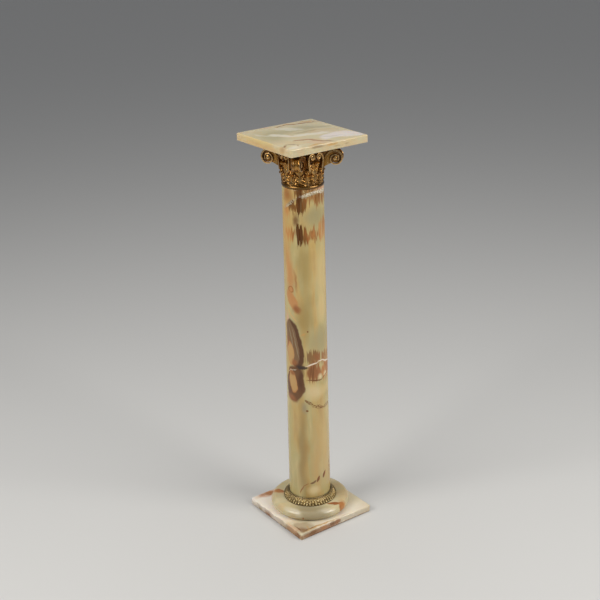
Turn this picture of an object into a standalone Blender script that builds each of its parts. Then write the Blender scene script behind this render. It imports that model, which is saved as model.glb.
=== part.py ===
"""Column pedestal of pale green onyx with a cast brass capital and a cast brass foot wreath.

Lengths are in metres and +Z is up. The origin is the middle of the plinth's underside, the sides
of the plinth and of the top slab run along X and Y, and the capital's volutes point at the
corners of the slab. From the floor up the pieces are the plinth, the base disc, the shaft with
the foot wreath round it, the capital and the top slab.
"""

import math

import bmesh
import bpy
import numpy as np

# Hairline between two pieces that touch.
JOINT_GAP = 0.0003

# Stone pieces.
PLINTH_THICK = 0.0180
PLINTH_MARGIN = 0.0105
PLINTH_CORNER_RADIUS = 0.0030
PLINTH_EASE = 0.0028
DISC_THICK = 0.0255
DISC_LEDGE = 0.0320
SHAFT_LENGTH = 0.8349
SHAFT_FOOT_RADIUS = 0.0535
SHAFT_NECK_RADIUS = 0.0496
SHAFT_EASE = 0.0010
SLAB_SIDE = 0.2180
SLAB_THICK = 0.0180
SLAB_CORNER_RADIUS = 0.0040
SLAB_EASE = 0.0020

# Foot wreath: a sloping ring of small radiating lobes round the shaft's foot.
WREATH_CLEARANCE = 0.0005
WREATH_WIDTH = 0.0148
WREATH_HEIGHT = 0.0180
WREATH_RIM = 0.0036
WREATH_TOP_WIDTH = 0.0026
WREATH_LOBES = 54
WREATH_RELIEF = 0.0022

# Capital: heights are above its own underside, and radii grow out from the shaft's neck.
CAPITAL_HEIGHT = 0.1024
NECK_RING_HEIGHT = 0.0086
NECK_RING_OVERHANG = 0.0010
BELL_INSET = 0.0042
BELL_FLARE = 0.0060
ABACUS_THICK = 0.0148
ABACUS_LIP = 0.0046
ABACUS_CORNER_WIDTH = 0.0400
ABACUS_CORNER_SETBACK = 0.0080
FLEURON_RADIUS = 0.0085
FLEURON_THICK = 0.0060

# Corner volutes: each is a pair of scrolls that splay from two stalks and meet at the corner.
VOLUTE_PROJECTION = 0.0464
VOLUTE_RADIUS = 0.0178
VOLUTE_EYE_RADIUS = 0.0056
VOLUTE_BAND_WIDTH = 0.0042
VOLUTE_BAND_THICK = 0.0044
VOLUTE_SLOT = 0.0092
VOLUTE_SLOT_DEPTH = 0.0034
VOLUTE_TURNS = 1.5
SCROLL_SHRINK_PER_TURN = 0.50
SCROLL_ENTRY = math.radians(150)

# Helices: two smaller scrolls that meet on the middle of each face.
HELIX_RADIUS = 0.0088
HELIX_GAP = 0.0028
HELIX_STANDOFF = 0.0070
HELIX_BAND_THICK = 0.0030
HELIX_TURNS = 0.9
STALK_RADIUS = 0.0052

# Leaves: reach is how far a curled tip stands out from the bell, lift how far the blade lies off it.
LEAF_THICK = 0.0030
LOWER_LEAF_LIFT = 0.0034
UPPER_LEAF_LIFT = 0.0022
LOWER_LEAF_REACH = 0.0108
FACE_LEAF_REACH = 0.0170
CORNER_LEAF_REACH = 0.0330
LEAF_CREASE = 0.0016
LEAF_EDGE_DROP = 0.0032

# Places on the capital, as shares of its height.
LOWER_LEAF_FOOT, LOWER_LEAF_CROWN = 0.085, 0.285
UPPER_LEAF_FOOT = 0.180
FACE_LEAF_CROWN = 0.560
CORNER_LEAF_CROWN = 0.545
STALK_FOOT, STALK_HEAD = 0.22, 0.46
BAND_SPRING = 0.42
CORE_FOOT = 0.38
HELIX_MIDDLE = 0.74

# Numbers of facets.
SHAFT_SIDES = 48
DISC_SIDES = 44
BELL_SIDES = 32
VOLUTE_STEPS_PER_TURN = 10
HELIX_STEPS_PER_TURN = 8

QUARTER = math.pi / 2
# From a leaf to the next one in its row: four faces and four corners.
LEAF_TURN = QUARTER / 2


def clear_scene():
    """Removes every object that the scene holds at the start."""
    for obj in list(bpy.data.objects):
        bpy.data.objects.remove(obj, do_unlink=True)


def material(name, colour, roughness, metallic):
    """A plain finish: colour is red, green and blue from 0 to 1."""
    made = bpy.data.materials.new(name)
    made.use_nodes = True
    shader = made.node_tree.nodes["Principled BSDF"]
    shader.inputs["Base Color"].default_value = (*colour, 1.0)
    shader.inputs["Roughness"].default_value = roughness
    shader.inputs["Metallic"].default_value = metallic
    return made


def node_object(name, mesh, finish):
    """Links a mesh as a named object with a finish, its gentle edges shaded smooth."""
    obj = bpy.data.objects.new(name, mesh)
    bpy.context.scene.collection.objects.link(obj)
    mesh.materials.append(finish)
    smooth(mesh)
    return obj


def smooth(mesh):
    mesh.shade_smooth()
    mesh.set_sharp_from_angle(angle=math.radians(35))


def mesh_from_bmesh(name, bm):
    """Turns a bmesh into a mesh whose faces point out."""
    bmesh.ops.recalc_face_normals(bm, faces=bm.faces)
    mesh = bpy.data.meshes.new(name)
    bm.to_mesh(mesh)
    bm.free()
    return mesh


def loft(name, rings, hollow=False):
    """A closed solid through rings of points, where neighbouring rings are joined by quads.

    rings is a list of equal lists of (x, y, z). A hollow loft joins its last ring to its first.
    Any other has a flat cap on both.
    """
    bm = bmesh.new()
    rows = [[bm.verts.new(point) for point in ring] for ring in rings]
    count = len(rows[0])
    following = rows[1:] + rows[:1] if hollow else rows[1:]
    for low, high in zip(rows, following):
        for i in range(count):
            j = (i + 1) % count
            bm.faces.new((low[i], low[j], high[j], high[i]))
    if not hollow:
        bm.faces.new(list(reversed(rows[0])))
        bm.faces.new(rows[-1])
    return mesh_from_bmesh(name, bm)


def polar(radius, angle, height):
    """A point at a radius, a turn from +X and a height."""
    return (radius * math.cos(angle), radius * math.sin(angle), height)


def spoke(angle):
    """The direction at an angle in a flat plane."""
    return np.array([math.cos(angle), math.sin(angle)])


def full_turn(count):
    """Equal steps round a circle."""
    return np.arange(count) * (2 * math.pi / count)


def turned(name, profile, sides):
    """A solid of revolution about Z. profile lists (radius, z) from bottom to top."""
    return loft(name, [[polar(r, a, z) for a in full_turn(sides)] for r, z in profile])


def arc(centre, radius, start, end, steps):
    """Points (r, z) along an arc, angles in degrees from the outward direction."""
    angles = np.radians(np.linspace(start, end, steps + 1))
    return [tuple(np.array(centre) + radius * spoke(a)) for a in angles]


def eased_slab(name, side, thick, corner_radius, ease, base_z):
    """A square slab with rounded corners and eased top and bottom edges."""
    bm = bmesh.new()
    bmesh.ops.create_cube(bm, size=1.0)
    bmesh.ops.scale(bm, vec=(side, side, thick), verts=bm.verts)
    bmesh.ops.translate(bm, vec=(0.0, 0.0, base_z + thick / 2), verts=bm.verts)
    upright = [e for e in bm.edges if not e.verts[0].co.z == e.verts[1].co.z]
    bmesh.ops.bevel(bm, geom=upright, offset=corner_radius, segments=2, profile=0.5, affect="EDGES")
    # The rims are the edges between a level face and the slab's upright sides.
    rims = [e for e in bm.edges if sum(abs(f.normal.z) > 0.9 for f in e.link_faces) == 1]
    bmesh.ops.bevel(bm, geom=rims, offset=ease, segments=2, profile=0.5, affect="EDGES")
    return mesh_from_bmesh(name, bm)


def fuse(body, parts):
    """Joins the parts to the body as one closed solid and removes them."""
    group = bpy.data.collections.new(body.name + "_parts")
    bpy.context.scene.collection.children.link(group)
    for part in parts:
        bpy.context.scene.collection.objects.unlink(part)
        group.objects.link(part)
    union = body.modifiers.new("Union", "BOOLEAN")
    union.operation = "UNION"
    union.operand_type = "COLLECTION"
    union.collection = group
    graph = bpy.context.evaluated_depsgraph_get()
    joined = bpy.data.meshes.new_from_object(body.evaluated_get(graph))
    body.modifiers.clear()
    body.data = joined
    for part in parts:
        bpy.data.objects.remove(part, do_unlink=True)
    bpy.data.collections.remove(group)
    smooth(body.data)


# Stone


def wreath_inner_radius():
    """The wreath clears the shaft at its foot, where the shaft is thickest."""
    return SHAFT_FOOT_RADIUS + WREATH_CLEARANCE


def disc_radius():
    """The disc stands out from under the wreath by its ledge."""
    return wreath_inner_radius() + WREATH_WIDTH + DISC_LEDGE


def plinth_side():
    """The plinth is square and shows a margin round the base disc."""
    return 2 * (disc_radius() + PLINTH_MARGIN)


def build_plinth(base_z, finish):
    side = plinth_side()
    mesh = eased_slab("plinth", side, PLINTH_THICK, PLINTH_CORNER_RADIUS, PLINTH_EASE, base_z)
    node_object("plinth", mesh, finish)


def build_disc(base_z, finish):
    """The base disc, with a half-round edge."""
    edge = DISC_THICK / 2
    rounding = arc((disc_radius() - edge, base_z + edge), edge, -90, 90, 6)
    node_object("base_disc", turned("base_disc", rounding, DISC_SIDES), finish)


def build_shaft(base_z, finish):
    """The shaft, straight-sided and a little thinner at the neck."""
    top = base_z + SHAFT_LENGTH
    profile = [
        (SHAFT_FOOT_RADIUS - SHAFT_EASE, base_z),
        (SHAFT_FOOT_RADIUS, base_z + SHAFT_EASE),
        (SHAFT_NECK_RADIUS, top - SHAFT_EASE),
        (SHAFT_NECK_RADIUS - SHAFT_EASE, top),
    ]
    node_object("shaft", turned("shaft", profile, SHAFT_SIDES), finish)


def build_slab(base_z, finish):
    mesh = eased_slab("top_slab", SLAB_SIDE, SLAB_THICK, SLAB_CORNER_RADIUS, SLAB_EASE, base_z)
    node_object("top_slab", mesh, finish)


# Foot wreath


def build_wreath(base_z, finish):
    """A ring whose sloping face swells into radiating lobes, so that its foot is scalloped."""
    inner = wreath_inner_radius()
    outer = inner + WREATH_WIDTH
    turns = full_turn(2 * WREATH_LOBES)
    groove = np.arange(2 * WREATH_LOBES) % 2
    slope = WREATH_HEIGHT - WREATH_RIM
    # Each row gives a radius, a height and how deep the grooves between the lobes are there.
    rows = [
        (inner, 0.0, 0.0),
        (outer, 0.0, WREATH_RELIEF),
        (outer - WREATH_WIDTH * 0.1, WREATH_RIM + slope * 0.25, WREATH_RELIEF),
        (inner + WREATH_TOP_WIDTH, WREATH_HEIGHT, WREATH_RELIEF * 0.7),
        (inner, WREATH_HEIGHT, 0.0),
    ]
    rings = [
        [polar(radius - depth * g, a, base_z + height) for a, g in zip(turns, groove)]
        for radius, height, depth in rows
    ]
    node_object("foot_wreath", loft("foot_wreath", rings, hollow=True), finish)


# Capital


def bell_radius():
    """The bell's radius where the leaves spring, just inside the shaft's neck."""
    return SHAFT_NECK_RADIUS - BELL_INSET


def volute_reach():
    """How far the volutes stand out from the axis."""
    return SHAFT_NECK_RADIUS + VOLUTE_PROJECTION


def abacus_underside():
    return CAPITAL_HEIGHT - ABACUS_THICK


def abacus_middle():
    """From the axis to the middle of a hollow side of the abacus, just outside the bell's rim."""
    return bell_radius() + BELL_FLARE + ABACUS_LIP


def bell_profile():
    """Neck ring, cavetto and flaring bell, as (radius, z)."""
    bell = bell_radius()
    ring = NECK_RING_HEIGHT / 2
    ring_centre = (SHAFT_NECK_RADIUS + NECK_RING_OVERHANG - ring, ring)
    flare = abacus_underside() - NECK_RING_HEIGHT
    return [
        *arc(ring_centre, ring, -90, 90, 4),
        (bell, NECK_RING_HEIGHT * 1.5),
        (bell, NECK_RING_HEIGHT + flare * 0.55),
        (bell + BELL_FLARE * 0.35, NECK_RING_HEIGHT + flare * 0.78),
        (bell + BELL_FLARE, abacus_underside() + ABACUS_THICK * 0.25),
    ]


def leaf_midrib(foot, crown, lift, reach, share):
    """The midrib in the radial plane at a share of its length: up the bell, then out and down.

    Returns the radius, the height and the two parts of the outward normal.
    """
    fine = np.linspace(0.0, 1.0, 240)
    curl = np.clip((fine - 0.50) / 0.50, 0.0, 1.0) ** 1.25
    heading = math.radians(91) - math.radians(200) * curl
    r = np.concatenate([[0.0], np.cumsum(np.cos(heading[1:]))])
    z = np.concatenate([[0.0], np.cumsum(np.sin(heading[1:]))])
    r = bell_radius() + lift + (reach - lift) * r / r.max()
    z = CAPITAL_HEIGHT * (foot + (crown - foot) * z / z.max())
    dr, dz = np.gradient(r), np.gradient(z)
    length = np.hypot(dr, dz)
    return [np.interp(share, fine, v) for v in (r, z, dz / length, -dr / length)]


def leaf_mesh(foot, crown, lift, reach):
    """One acanthus leaf as a closed blade, lying on +X.

    s runs up the midrib, and t runs from edge to edge, -1 to 1. The lower half of the back is
    buried in the bell, and the upper half is a free blade.
    """
    shares = np.array([0, 1, 2, 3, 4, 4.7, 5.4, 6]) / 6
    s, t = np.meshgrid(shares, np.array([-1.0, -0.45, 0.0, 0.45, 1.0]), indexing="ij")
    # Three lobes up each edge, in an outline that is widest half-way up.
    lobe = np.abs(np.sin(3 * math.pi * s))
    stations = [0.0, 0.30, 0.50, 0.62, 0.75, 0.88, 0.96, 1.0]
    envelope = np.interp(s, stations, [0.80, 0.95, 1.00, 0.88, 0.68, 0.60, 0.50, 0.30])
    half_width = bell_radius() * LEAF_TURN * 0.48
    width = half_width * envelope * (0.70 + 0.30 * lobe)
    along = np.clip(s + 0.05 * np.abs(t) ** 1.5 * (1 - s), 0.0, 1.0)
    r, z, nr, nz = leaf_midrib(foot, crown, lift, reach, along)
    crease = LEAF_CREASE * (1 - np.abs(t)) ** 2
    relief = crease + 0.6 * LEAF_CREASE * lobe * np.abs(t) - LEAF_EDGE_DROP * t**2
    turn = t * width / r
    free = np.interp(s, [0.45, 0.70], [0.0, 1.0])
    sides = []
    for depth, buried in ((relief, 0.0), (relief - LEAF_THICK, 1.0 - free)):
        radius = r + nr * depth
        radius += ((bell_radius() - LEAF_THICK / 2) - radius) * buried
        sides.append(np.stack([radius * np.cos(turn), radius * np.sin(turn), z + nz * depth], -1))
    front, back = sides
    # The back needs only its edges and its middle.
    return loft("leaf", [[tuple(p) for p in [*f, *b[::-2]]] for f, b in zip(front, back)])


def scroll_radius(radius, turned_by):
    """The outer radius of a scroll, where radius is the reach on its right-hand side."""
    return radius * SCROLL_SHRINK_PER_TURN ** ((turned_by - SCROLL_ENTRY) / (2 * math.pi))


def scroll_line(start, heading, centre, radius, turns, thick, steps_per_turn):
    """The middle line of a scroll's band and half its thickness, in the scroll's own plane.

    The band leaves start along heading, meets the scroll at its upper left and winds in clockwise.
    Each item is (point, half thickness).
    """
    winding = []
    steps = round(turns * steps_per_turn)
    for turned_by in np.linspace(0.0, 2 * math.pi * turns, steps + 1):
        half = thick * (1 - 0.45 * turned_by / (2 * math.pi * turns)) / 2
        reach = scroll_radius(radius, turned_by) - half
        winding.append((centre + reach * spoke(SCROLL_ENTRY - turned_by), half))
    meet, tangent = winding[0][0], winding[1][0] - winding[0][0]
    tangent /= np.linalg.norm(tangent)
    span = np.linalg.norm(meet - start)
    stem = []
    for q in np.linspace(0.0, 0.75, 4):
        point = (
            (2 * q**3 - 3 * q**2 + 1) * start
            + (q**3 - 2 * q**2 + q) * heading * span
            + (3 * q**2 - 2 * q**3) * meet
            + (q**3 - q**2) * tangent * span
        )
        stem.append((point, thick / 2))
    return stem + winding


def in_plane(points, origin, direction):
    """Points (u, z) of an upright plane as points in space."""
    return [tuple(origin + np.array([*(direction * u), z])) for u, z in points]


def band_mesh(line, origin, direction, width):
    """A band of the given width swept along a line in the upright plane through origin."""
    across = np.array([-direction[1], direction[0], 0.0]) * width / 2
    points = np.array([p for p, _ in line])
    tangents = np.gradient(points, axis=0)
    tangents /= np.linalg.norm(tangents, axis=1)[:, None]
    rings = []
    for (point, half), (along_u, along_z) in zip(line, tangents):
        normal = np.array([-along_z, along_u]) * half
        near = in_plane([point - normal, point + normal], origin - across, direction)
        far = in_plane([point + normal, point - normal], origin + across, direction)
        rings.append(near + far)
    return loft("band", rings)


def volute_plane(side, offset):
    """Where one side of the volute on +X springs, the level way it runs, and how far it runs.

    offset is how far the plane lies from the corner's middle plane at the volute's tip.
    """
    spring = np.array(polar(bell_radius() + STALK_RADIUS / 2, side * LEAF_TURN / 2, 0.0))
    tip = np.array([volute_reach(), side * offset, 0.0])
    run = np.linalg.norm(tip - spring)
    return spring, (tip - spring)[:2] / run, run


def volute_centre(run):
    """The scroll's centre in its plane: its top touches the abacus and its side the reach."""
    top = scroll_radius(VOLUTE_RADIUS, SCROLL_ENTRY - QUARTER)
    return np.array([run - VOLUTE_RADIUS, abacus_underside() - top + JOINT_GAP])


def volute_band(side):
    """The raised band of one scroll of the volute on +X."""
    origin, direction, run = volute_plane(side, (VOLUTE_SLOT + VOLUTE_BAND_WIDTH) / 2)
    start, heading = np.array([0.0, CAPITAL_HEIGHT * BAND_SPRING]), spoke(math.radians(78))
    centre, steps = volute_centre(run), VOLUTE_STEPS_PER_TURN
    line = scroll_line(
        start, heading, centre, VOLUTE_RADIUS, VOLUTE_TURNS, VOLUTE_BAND_THICK, steps
    )
    return band_mesh(line, origin, direction, VOLUTE_BAND_WIDTH)


def between_scrolls(outline, offset):
    """A solid between the two scrolls of the volute on +X. outline gives its points in a plane."""
    sides = []
    for side in (-1, 1):
        origin, direction, run = volute_plane(side, offset)
        sides.append(in_plane(outline(volute_centre(run)), origin, direction))
    return loft("between", sides)


def web_outline(centre):
    """One whole turn of the scroll, set in by the depth of the slot."""
    points = []
    for turned_by in np.linspace(0.0, 2 * math.pi, VOLUTE_STEPS_PER_TURN + 1):
        reach = scroll_radius(VOLUTE_RADIUS, turned_by) - VOLUTE_SLOT_DEPTH
        points.append(centre + reach * spoke(SCROLL_ENTRY - turned_by))
    return points


def core_outline(centre):
    """The solid corner behind the scroll, from the bell out and up under the abacus."""
    top = abacus_underside() + ABACUS_THICK / 2
    return [
        (-STALK_RADIUS, top),
        (-STALK_RADIUS, CAPITAL_HEIGHT * CORE_FOOT),
        (STALK_RADIUS, CAPITAL_HEIGHT * (CORE_FOOT + 0.08)),
        (centre[0] - VOLUTE_RADIUS / 3, centre[1] - VOLUTE_RADIUS / 2),
        (centre[0], top),
    ]


def eye_outline(centre):
    return [centre + VOLUTE_EYE_RADIUS * spoke(a) for a in full_turn(8)]


def volute_meshes():
    """The volute on +X: two bands, the sunk web and core between them and the eye through both."""
    middle = (VOLUTE_SLOT + VOLUTE_BAND_WIDTH) / 2
    sunk = middle - VOLUTE_BAND_WIDTH * 0.3
    deep = middle - VOLUTE_BAND_WIDTH * 0.45
    proud = middle + VOLUTE_BAND_WIDTH * 0.6
    between = [(web_outline, sunk), (core_outline, deep), (eye_outline, proud)]
    bands = [volute_band(side) for side in (-1, 1)]
    return bands + [between_scrolls(outline, offset) for outline, offset in between]


def helix_mesh(side):
    """One of the two small scrolls that meet on the middle of the face on +X."""
    bell = bell_radius()
    spring = bell * math.sin(LEAF_TURN / 2)
    origin = np.array([bell + HELIX_STANDOFF, side * spring, 0.0])
    start = np.array([0.0, CAPITAL_HEIGHT * BAND_SPRING])
    centre = np.array([spring - HELIX_RADIUS - HELIX_GAP / 2, CAPITAL_HEIGHT * HELIX_MIDDLE])
    up, steps = spoke(QUARTER), HELIX_STEPS_PER_TURN
    line = scroll_line(start, up, centre, HELIX_RADIUS, HELIX_TURNS, HELIX_BAND_THICK, steps)
    # The band's inner half is buried in the bell.
    return band_mesh(line, origin, np.array([0.0, -side]), HELIX_STANDOFF * 1.6)


def abacus_mesh():
    """The abacus: a square with hollow sides and cut corners, stepped in on its lower half."""
    cut = ABACUS_CORNER_WIDTH / 2 / math.sqrt(2)
    along = (volute_reach() - ABACUS_CORNER_SETBACK) / math.sqrt(2)
    outline = []
    for k in range(4):
        turn = k * QUARTER
        # One hollow side, from the cut corner at -45 degrees to the one at +45 degrees.
        for q in np.linspace(-1.0, 1.0, 7):
            x = along + cut / 2 - (along + cut / 2 - abacus_middle()) * math.cos(q * QUARTER) ** 0.8
            y = q * (along - cut / 2)
            outline.append(np.hypot(x, y) * spoke(math.atan2(y, x) + turn))
    step = abacus_underside() + ABACUS_THICK / 2
    levels = [(abacus_underside(), 0.95), (step - 0.0008, 0.97), (step, 1.0), (CAPITAL_HEIGHT, 1.0)]
    return loft("abacus", [[(x * grow, y * grow, z) for x, y in outline] for z, grow in levels])


def fleuron_mesh():
    """The four-petalled flower on the middle of the abacus side on +X."""
    middle = CAPITAL_HEIGHT - ABACUS_THICK * 0.45
    rings = []
    for out, grow in ((-0.5, 0.8), (0.45, 1.0), (1.0, 0.45)):
        ring = []
        for k, angle in enumerate(full_turn(8)):
            across, up = FLEURON_RADIUS * grow * (1.0 if k % 2 else 0.8) * spoke(angle)
            ring.append((abacus_middle() + FLEURON_THICK * out, across, middle + up * 0.8))
        rings.append(ring)
    return loft("fleuron", rings)


def stalk_mesh():
    """A stalk between two upper leaves, from which a volute and a helix spring, on +X."""
    foot, head = CAPITAL_HEIGHT * STALK_FOOT, CAPITAL_HEIGHT * STALK_HEAD
    centre = bell_radius() + STALK_RADIUS / 3
    rings = []
    for z, grow in ((foot, 0.7), (head, 1.2)):
        rim = [STALK_RADIUS * grow * spoke(a) for a in full_turn(8)]
        rings.append([(centre + x, y, z) for x, y in rim])
    return loft("stalk", rings)


def build_capital(base_z, finish):
    """The capital, one casting: bell, two rows of leaves, stalks, volutes, helices and abacus."""
    profile = [(r, z + base_z) for r, z in bell_profile()]
    capital = node_object("capital", turned("capital", profile, BELL_SIDES), finish)
    parts = []

    def place(mesh, turn):
        """Adds a copy of a mesh, turned about the axis and raised to the capital's height."""
        obj = bpy.data.objects.new(mesh.name, mesh.copy())
        obj.rotation_euler = (0.0, 0.0, turn)
        obj.location = (0.0, 0.0, base_z)
        bpy.context.scene.collection.objects.link(obj)
        parts.append(obj)

    lower = leaf_mesh(LOWER_LEAF_FOOT, LOWER_LEAF_CROWN, LOWER_LEAF_LIFT, LOWER_LEAF_REACH)
    face_leaf = leaf_mesh(UPPER_LEAF_FOOT, FACE_LEAF_CROWN, UPPER_LEAF_LIFT, FACE_LEAF_REACH)
    corner_leaf = leaf_mesh(UPPER_LEAF_FOOT, CORNER_LEAF_CROWN, UPPER_LEAF_LIFT, CORNER_LEAF_REACH)
    stalk = stalk_mesh()
    on_face = [face_leaf, fleuron_mesh(), helix_mesh(-1), helix_mesh(1)]
    on_corner = [corner_leaf, *volute_meshes()]
    place(abacus_mesh(), 0.0)
    for k in range(4):
        face = k * QUARTER
        for mesh in on_face:
            place(mesh, face)
        for mesh in on_corner:
            place(mesh, face + LEAF_TURN)
        for side in (-1, 1):
            place(lower, face + side * LEAF_TURN / 2)
            place(stalk, face + side * LEAF_TURN / 2)
    fuse(capital, parts)


def main():
    clear_scene()
    onyx = material("onyx", (0.56, 0.52, 0.34), 0.18, 0.0)
    pale_onyx = material("pale_onyx", (0.66, 0.60, 0.45), 0.20, 0.0)
    gilt = material("gilt_brass", (0.55, 0.36, 0.11), 0.30, 1.0)
    aged = material("aged_brass", (0.36, 0.28, 0.13), 0.38, 1.0)
    disc_z = PLINTH_THICK + JOINT_GAP
    shaft_z = disc_z + DISC_THICK + JOINT_GAP
    capital_z = shaft_z + SHAFT_LENGTH + JOINT_GAP
    slab_z = capital_z + CAPITAL_HEIGHT + JOINT_GAP
    build_plinth(0.0, pale_onyx)
    build_disc(disc_z, onyx)
    build_shaft(shaft_z, onyx)
    build_wreath(shaft_z, aged)
    build_capital(capital_z, gilt)
    build_slab(slab_z, pale_onyx)


main()
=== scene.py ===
"""Dresses a column pedestal: polished onyx pieces, a cast gilt brass capital and a brass foot wreath.

Lengths are in metres and +Z is up. The origin is the middle of the plinth's underside. The file is
laid out as a Blender add-on: property groups hold the sizes and finishes, an operator makes each
group of pieces, and main() runs them in order.
"""

import math
from collections import namedtuple

import bmesh
import bpy
import numpy as np
from bpy.props import FloatProperty, FloatVectorProperty, IntProperty, PointerProperty
from mathutils import Euler, Matrix, Vector


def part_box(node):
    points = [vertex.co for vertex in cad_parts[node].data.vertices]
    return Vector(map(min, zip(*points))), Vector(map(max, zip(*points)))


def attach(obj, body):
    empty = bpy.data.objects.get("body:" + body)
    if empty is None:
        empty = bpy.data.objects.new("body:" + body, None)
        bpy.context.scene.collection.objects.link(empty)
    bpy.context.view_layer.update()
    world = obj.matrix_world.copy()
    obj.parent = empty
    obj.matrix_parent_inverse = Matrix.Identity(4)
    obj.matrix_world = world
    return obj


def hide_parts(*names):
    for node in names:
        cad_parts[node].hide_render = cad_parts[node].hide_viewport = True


bl_info = {
    "name": "Onyx Pedestal",
    "version": (1, 0, 0),
    "blender": (4, 5, 0),
    "location": "View3D > Sidebar > Pedestal",
    "description": "Dresses a column pedestal in veined onyx and gilt brass",
    "category": "Object",
}

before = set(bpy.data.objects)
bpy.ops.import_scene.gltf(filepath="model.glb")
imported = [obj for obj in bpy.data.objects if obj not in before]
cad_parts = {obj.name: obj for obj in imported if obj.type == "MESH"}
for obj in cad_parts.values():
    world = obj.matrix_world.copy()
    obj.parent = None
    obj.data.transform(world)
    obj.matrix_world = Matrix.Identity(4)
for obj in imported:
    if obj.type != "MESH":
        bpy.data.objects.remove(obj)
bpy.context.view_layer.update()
QUARTER = math.pi / 2
# From a leaf of the capital to the next one in its row: four faces and four corners.
LEAF_TURN = QUARTER / 2


def srgb(red, green, blue):
    """A colour chart's red, green and blue, 0 to 255, as the linear values that Blender takes."""
    shares = [c / 255 for c in (red, green, blue)]
    return tuple(c / 12.92 if c <= 0.04045 else ((c + 0.055) / 1.055) ** 2.4 for c in shares)


def length(name, description, default):
    return FloatProperty(name=name, description=description, default=default, unit="LENGTH", precision=5)


def rotation(name, description, degrees):
    return FloatProperty(name=name, description=description, default=math.radians(degrees), subtype="ANGLE")


def share(name, description, default):
    return FloatProperty(name=name, description=description, default=default, subtype="FACTOR")


def colour(name, description, default):
    return FloatVectorProperty(name=name, description=description, default=default, subtype="COLOR")


class StoneSettings(bpy.types.PropertyGroup):
    """The onyx pieces: their eased edges, tones and polish."""

    ease: length("Ease", "Radius of the slabs' eased edges", 0.0022)
    corner: length("Corner", "Radius of the slabs' upright corners", 0.0035)
    shaft_ease: length("Shaft ease", "Radius of the shaft's two rims", 0.001)
    neck_radius: length("Neck radius", "Radius of the shaft under the capital", 0.0496)
    shaft_front: rotation("Shaft front", "Which way the shaft's marks face, turned from +X", -125.94)
    roughness: share("Roughness", "How dull the polish is", 0.13)
    depth: length("Depth", "How far light wanders in the stone", 0.005)
    translucency: share("Translucency", "How much of the light goes into the stone", 0.35)
    green: colour("Green", "The stone's green-grey tone", srgb(182, 168, 116))
    honey: colour("Honey", "The stone's warm yellow tone", srgb(194, 164, 102))
    cream: colour("Cream", "The stone's palest tone", srgb(208, 188, 136))
    tan: colour("Tan", "The stone's brownest cloud", srgb(178, 146, 92))


class BrassSettings(bpy.types.PropertyGroup):
    """The finishes of the two castings."""

    gilt: colour("Gilt", "The capital's gilding", srgb(186, 132, 52))
    # Painted highlight on the capital's most open points, flecked by noise.
    gilt_highlight: colour("Bright gilt", "The capital's worn high points", srgb(250, 222, 170))
    # Brown patina and painted shade in the capital's hollows.
    gilt_shade: colour("Gilt shade", "The brown in the capital's hollows", srgb(94, 54, 12))
    gilt_roughness: share("Gilt roughness", "How dull the capital is", 0.24)
    # How far the ambient occlusion looks that lays the painted shade and highlights.
    gilt_hollow: length("Gilt hollows", "Width of the capital's hollows that stay dark", 0.012)
    antique: colour("Antique", "The wreath's brass", srgb(132, 106, 54))
    # Painted highlight on the wreath's most open points, flecked by noise.
    antique_highlight: colour("Bright antique", "The wreath's worn high points", srgb(246, 226, 172))
    # Patina and painted shade in the wreath's hollows, with a painted shadow line against the shaft.
    antique_shade: colour("Antique shade", "The dark in the wreath's hollows", srgb(66, 50, 22))
    antique_roughness: share("Antique roughness", "How dull the wreath is", 0.34)
    # How far the ambient occlusion looks that lays the painted shade and highlights.
    antique_hollow: length("Antique hollows", "Width of the wreath's hollows that stay dark", 0.005)


class CapitalSettings(bpy.types.PropertyGroup):
    """Sizes of the capital. Its height comes from the frame and its neck from the shaft."""

    ring_height: length("Ring height", "Height of the neck ring", 0.0086)
    ring_overhang: length("Ring overhang", "How far the neck ring stands out past the shaft", 0.001)
    bell_inset: length("Bell inset", "How far the bell lies inside the shaft's surface", 0.0042)
    bell_flare: length("Bell flare", "How far the bell's rim flares out", 0.006)
    abacus_thick: length("Abacus thickness", "Height of the abacus", 0.0148)
    abacus_lip: length("Abacus lip", "How far the abacus stands out past the bell's rim", 0.0046)
    abacus_corner: length("Abacus corner", "Width of the abacus's cut corners", 0.040)
    abacus_setback: length("Abacus setback", "From the volutes' tips back to the cut corners", 0.008)
    fleuron_radius: length("Fleuron radius", "Radius of the flower on each side", 0.0085)
    fleuron_thick: length("Fleuron thickness", "How far the flower stands out", 0.006)
    volute_reach: length("Volute reach", "From the axis to the volutes' tips", 0.096)
    volute_radius: length("Volute radius", "Reach of a volute's scroll from its eye", 0.0178)
    volute_eye: length("Volute eye", "Radius of the button in a volute", 0.0056)
    volute_band: length("Volute band", "Width of a volute's band", 0.0042)
    volute_band_thick: length("Volute band thickness", "Thickness of a volute's band", 0.0044)
    volute_slot: length("Volute slot", "Gap between the two scrolls of a volute", 0.0092)
    volute_slot_depth: length("Volute slot depth", "How deep that gap is", 0.0040)
    helix_radius: length("Helix radius", "Reach of a small scroll from its middle", 0.0080)
    helix_band: length("Helix band", "Thickness of a small scroll's band", 0.0046)
    helix_gap: length("Helix gap", "Gap between the two small scrolls of a face", 0.0028)
    helix_standoff: length("Helix standoff", "How far the small scrolls stand out", 0.0042)
    stalk_radius: length("Stalk radius", "Radius of the stalks between the leaves", 0.0066)
    leaf_thick: length("Leaf thickness", "Thickness of a leaf's free part", 0.0024)
    leaf_crease: length("Leaf crease", "Height of a leaf's swelling along its midrib", 0.0016)
    leaf_drop: length("Leaf drop", "How far a leaf's edges fall back", 0.0026)
    leaf_dome: length("Leaf dome", "How far a leaf's lobes swell", 0.0018)
    leaf_eye: length("Leaf eye", "Depth of the hollows between a leaf's lobes", 0.0022)
    leaf_flute: length("Leaf flute", "Depth of the flutes in a leaf", 0.0012)
    leaf_rib: length("Leaf rib", "Height of the midrib itself", 0.0009)
    leaf_flick: length("Leaf flick", "How far the lobes' tips turn up", 0.0014)


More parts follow.
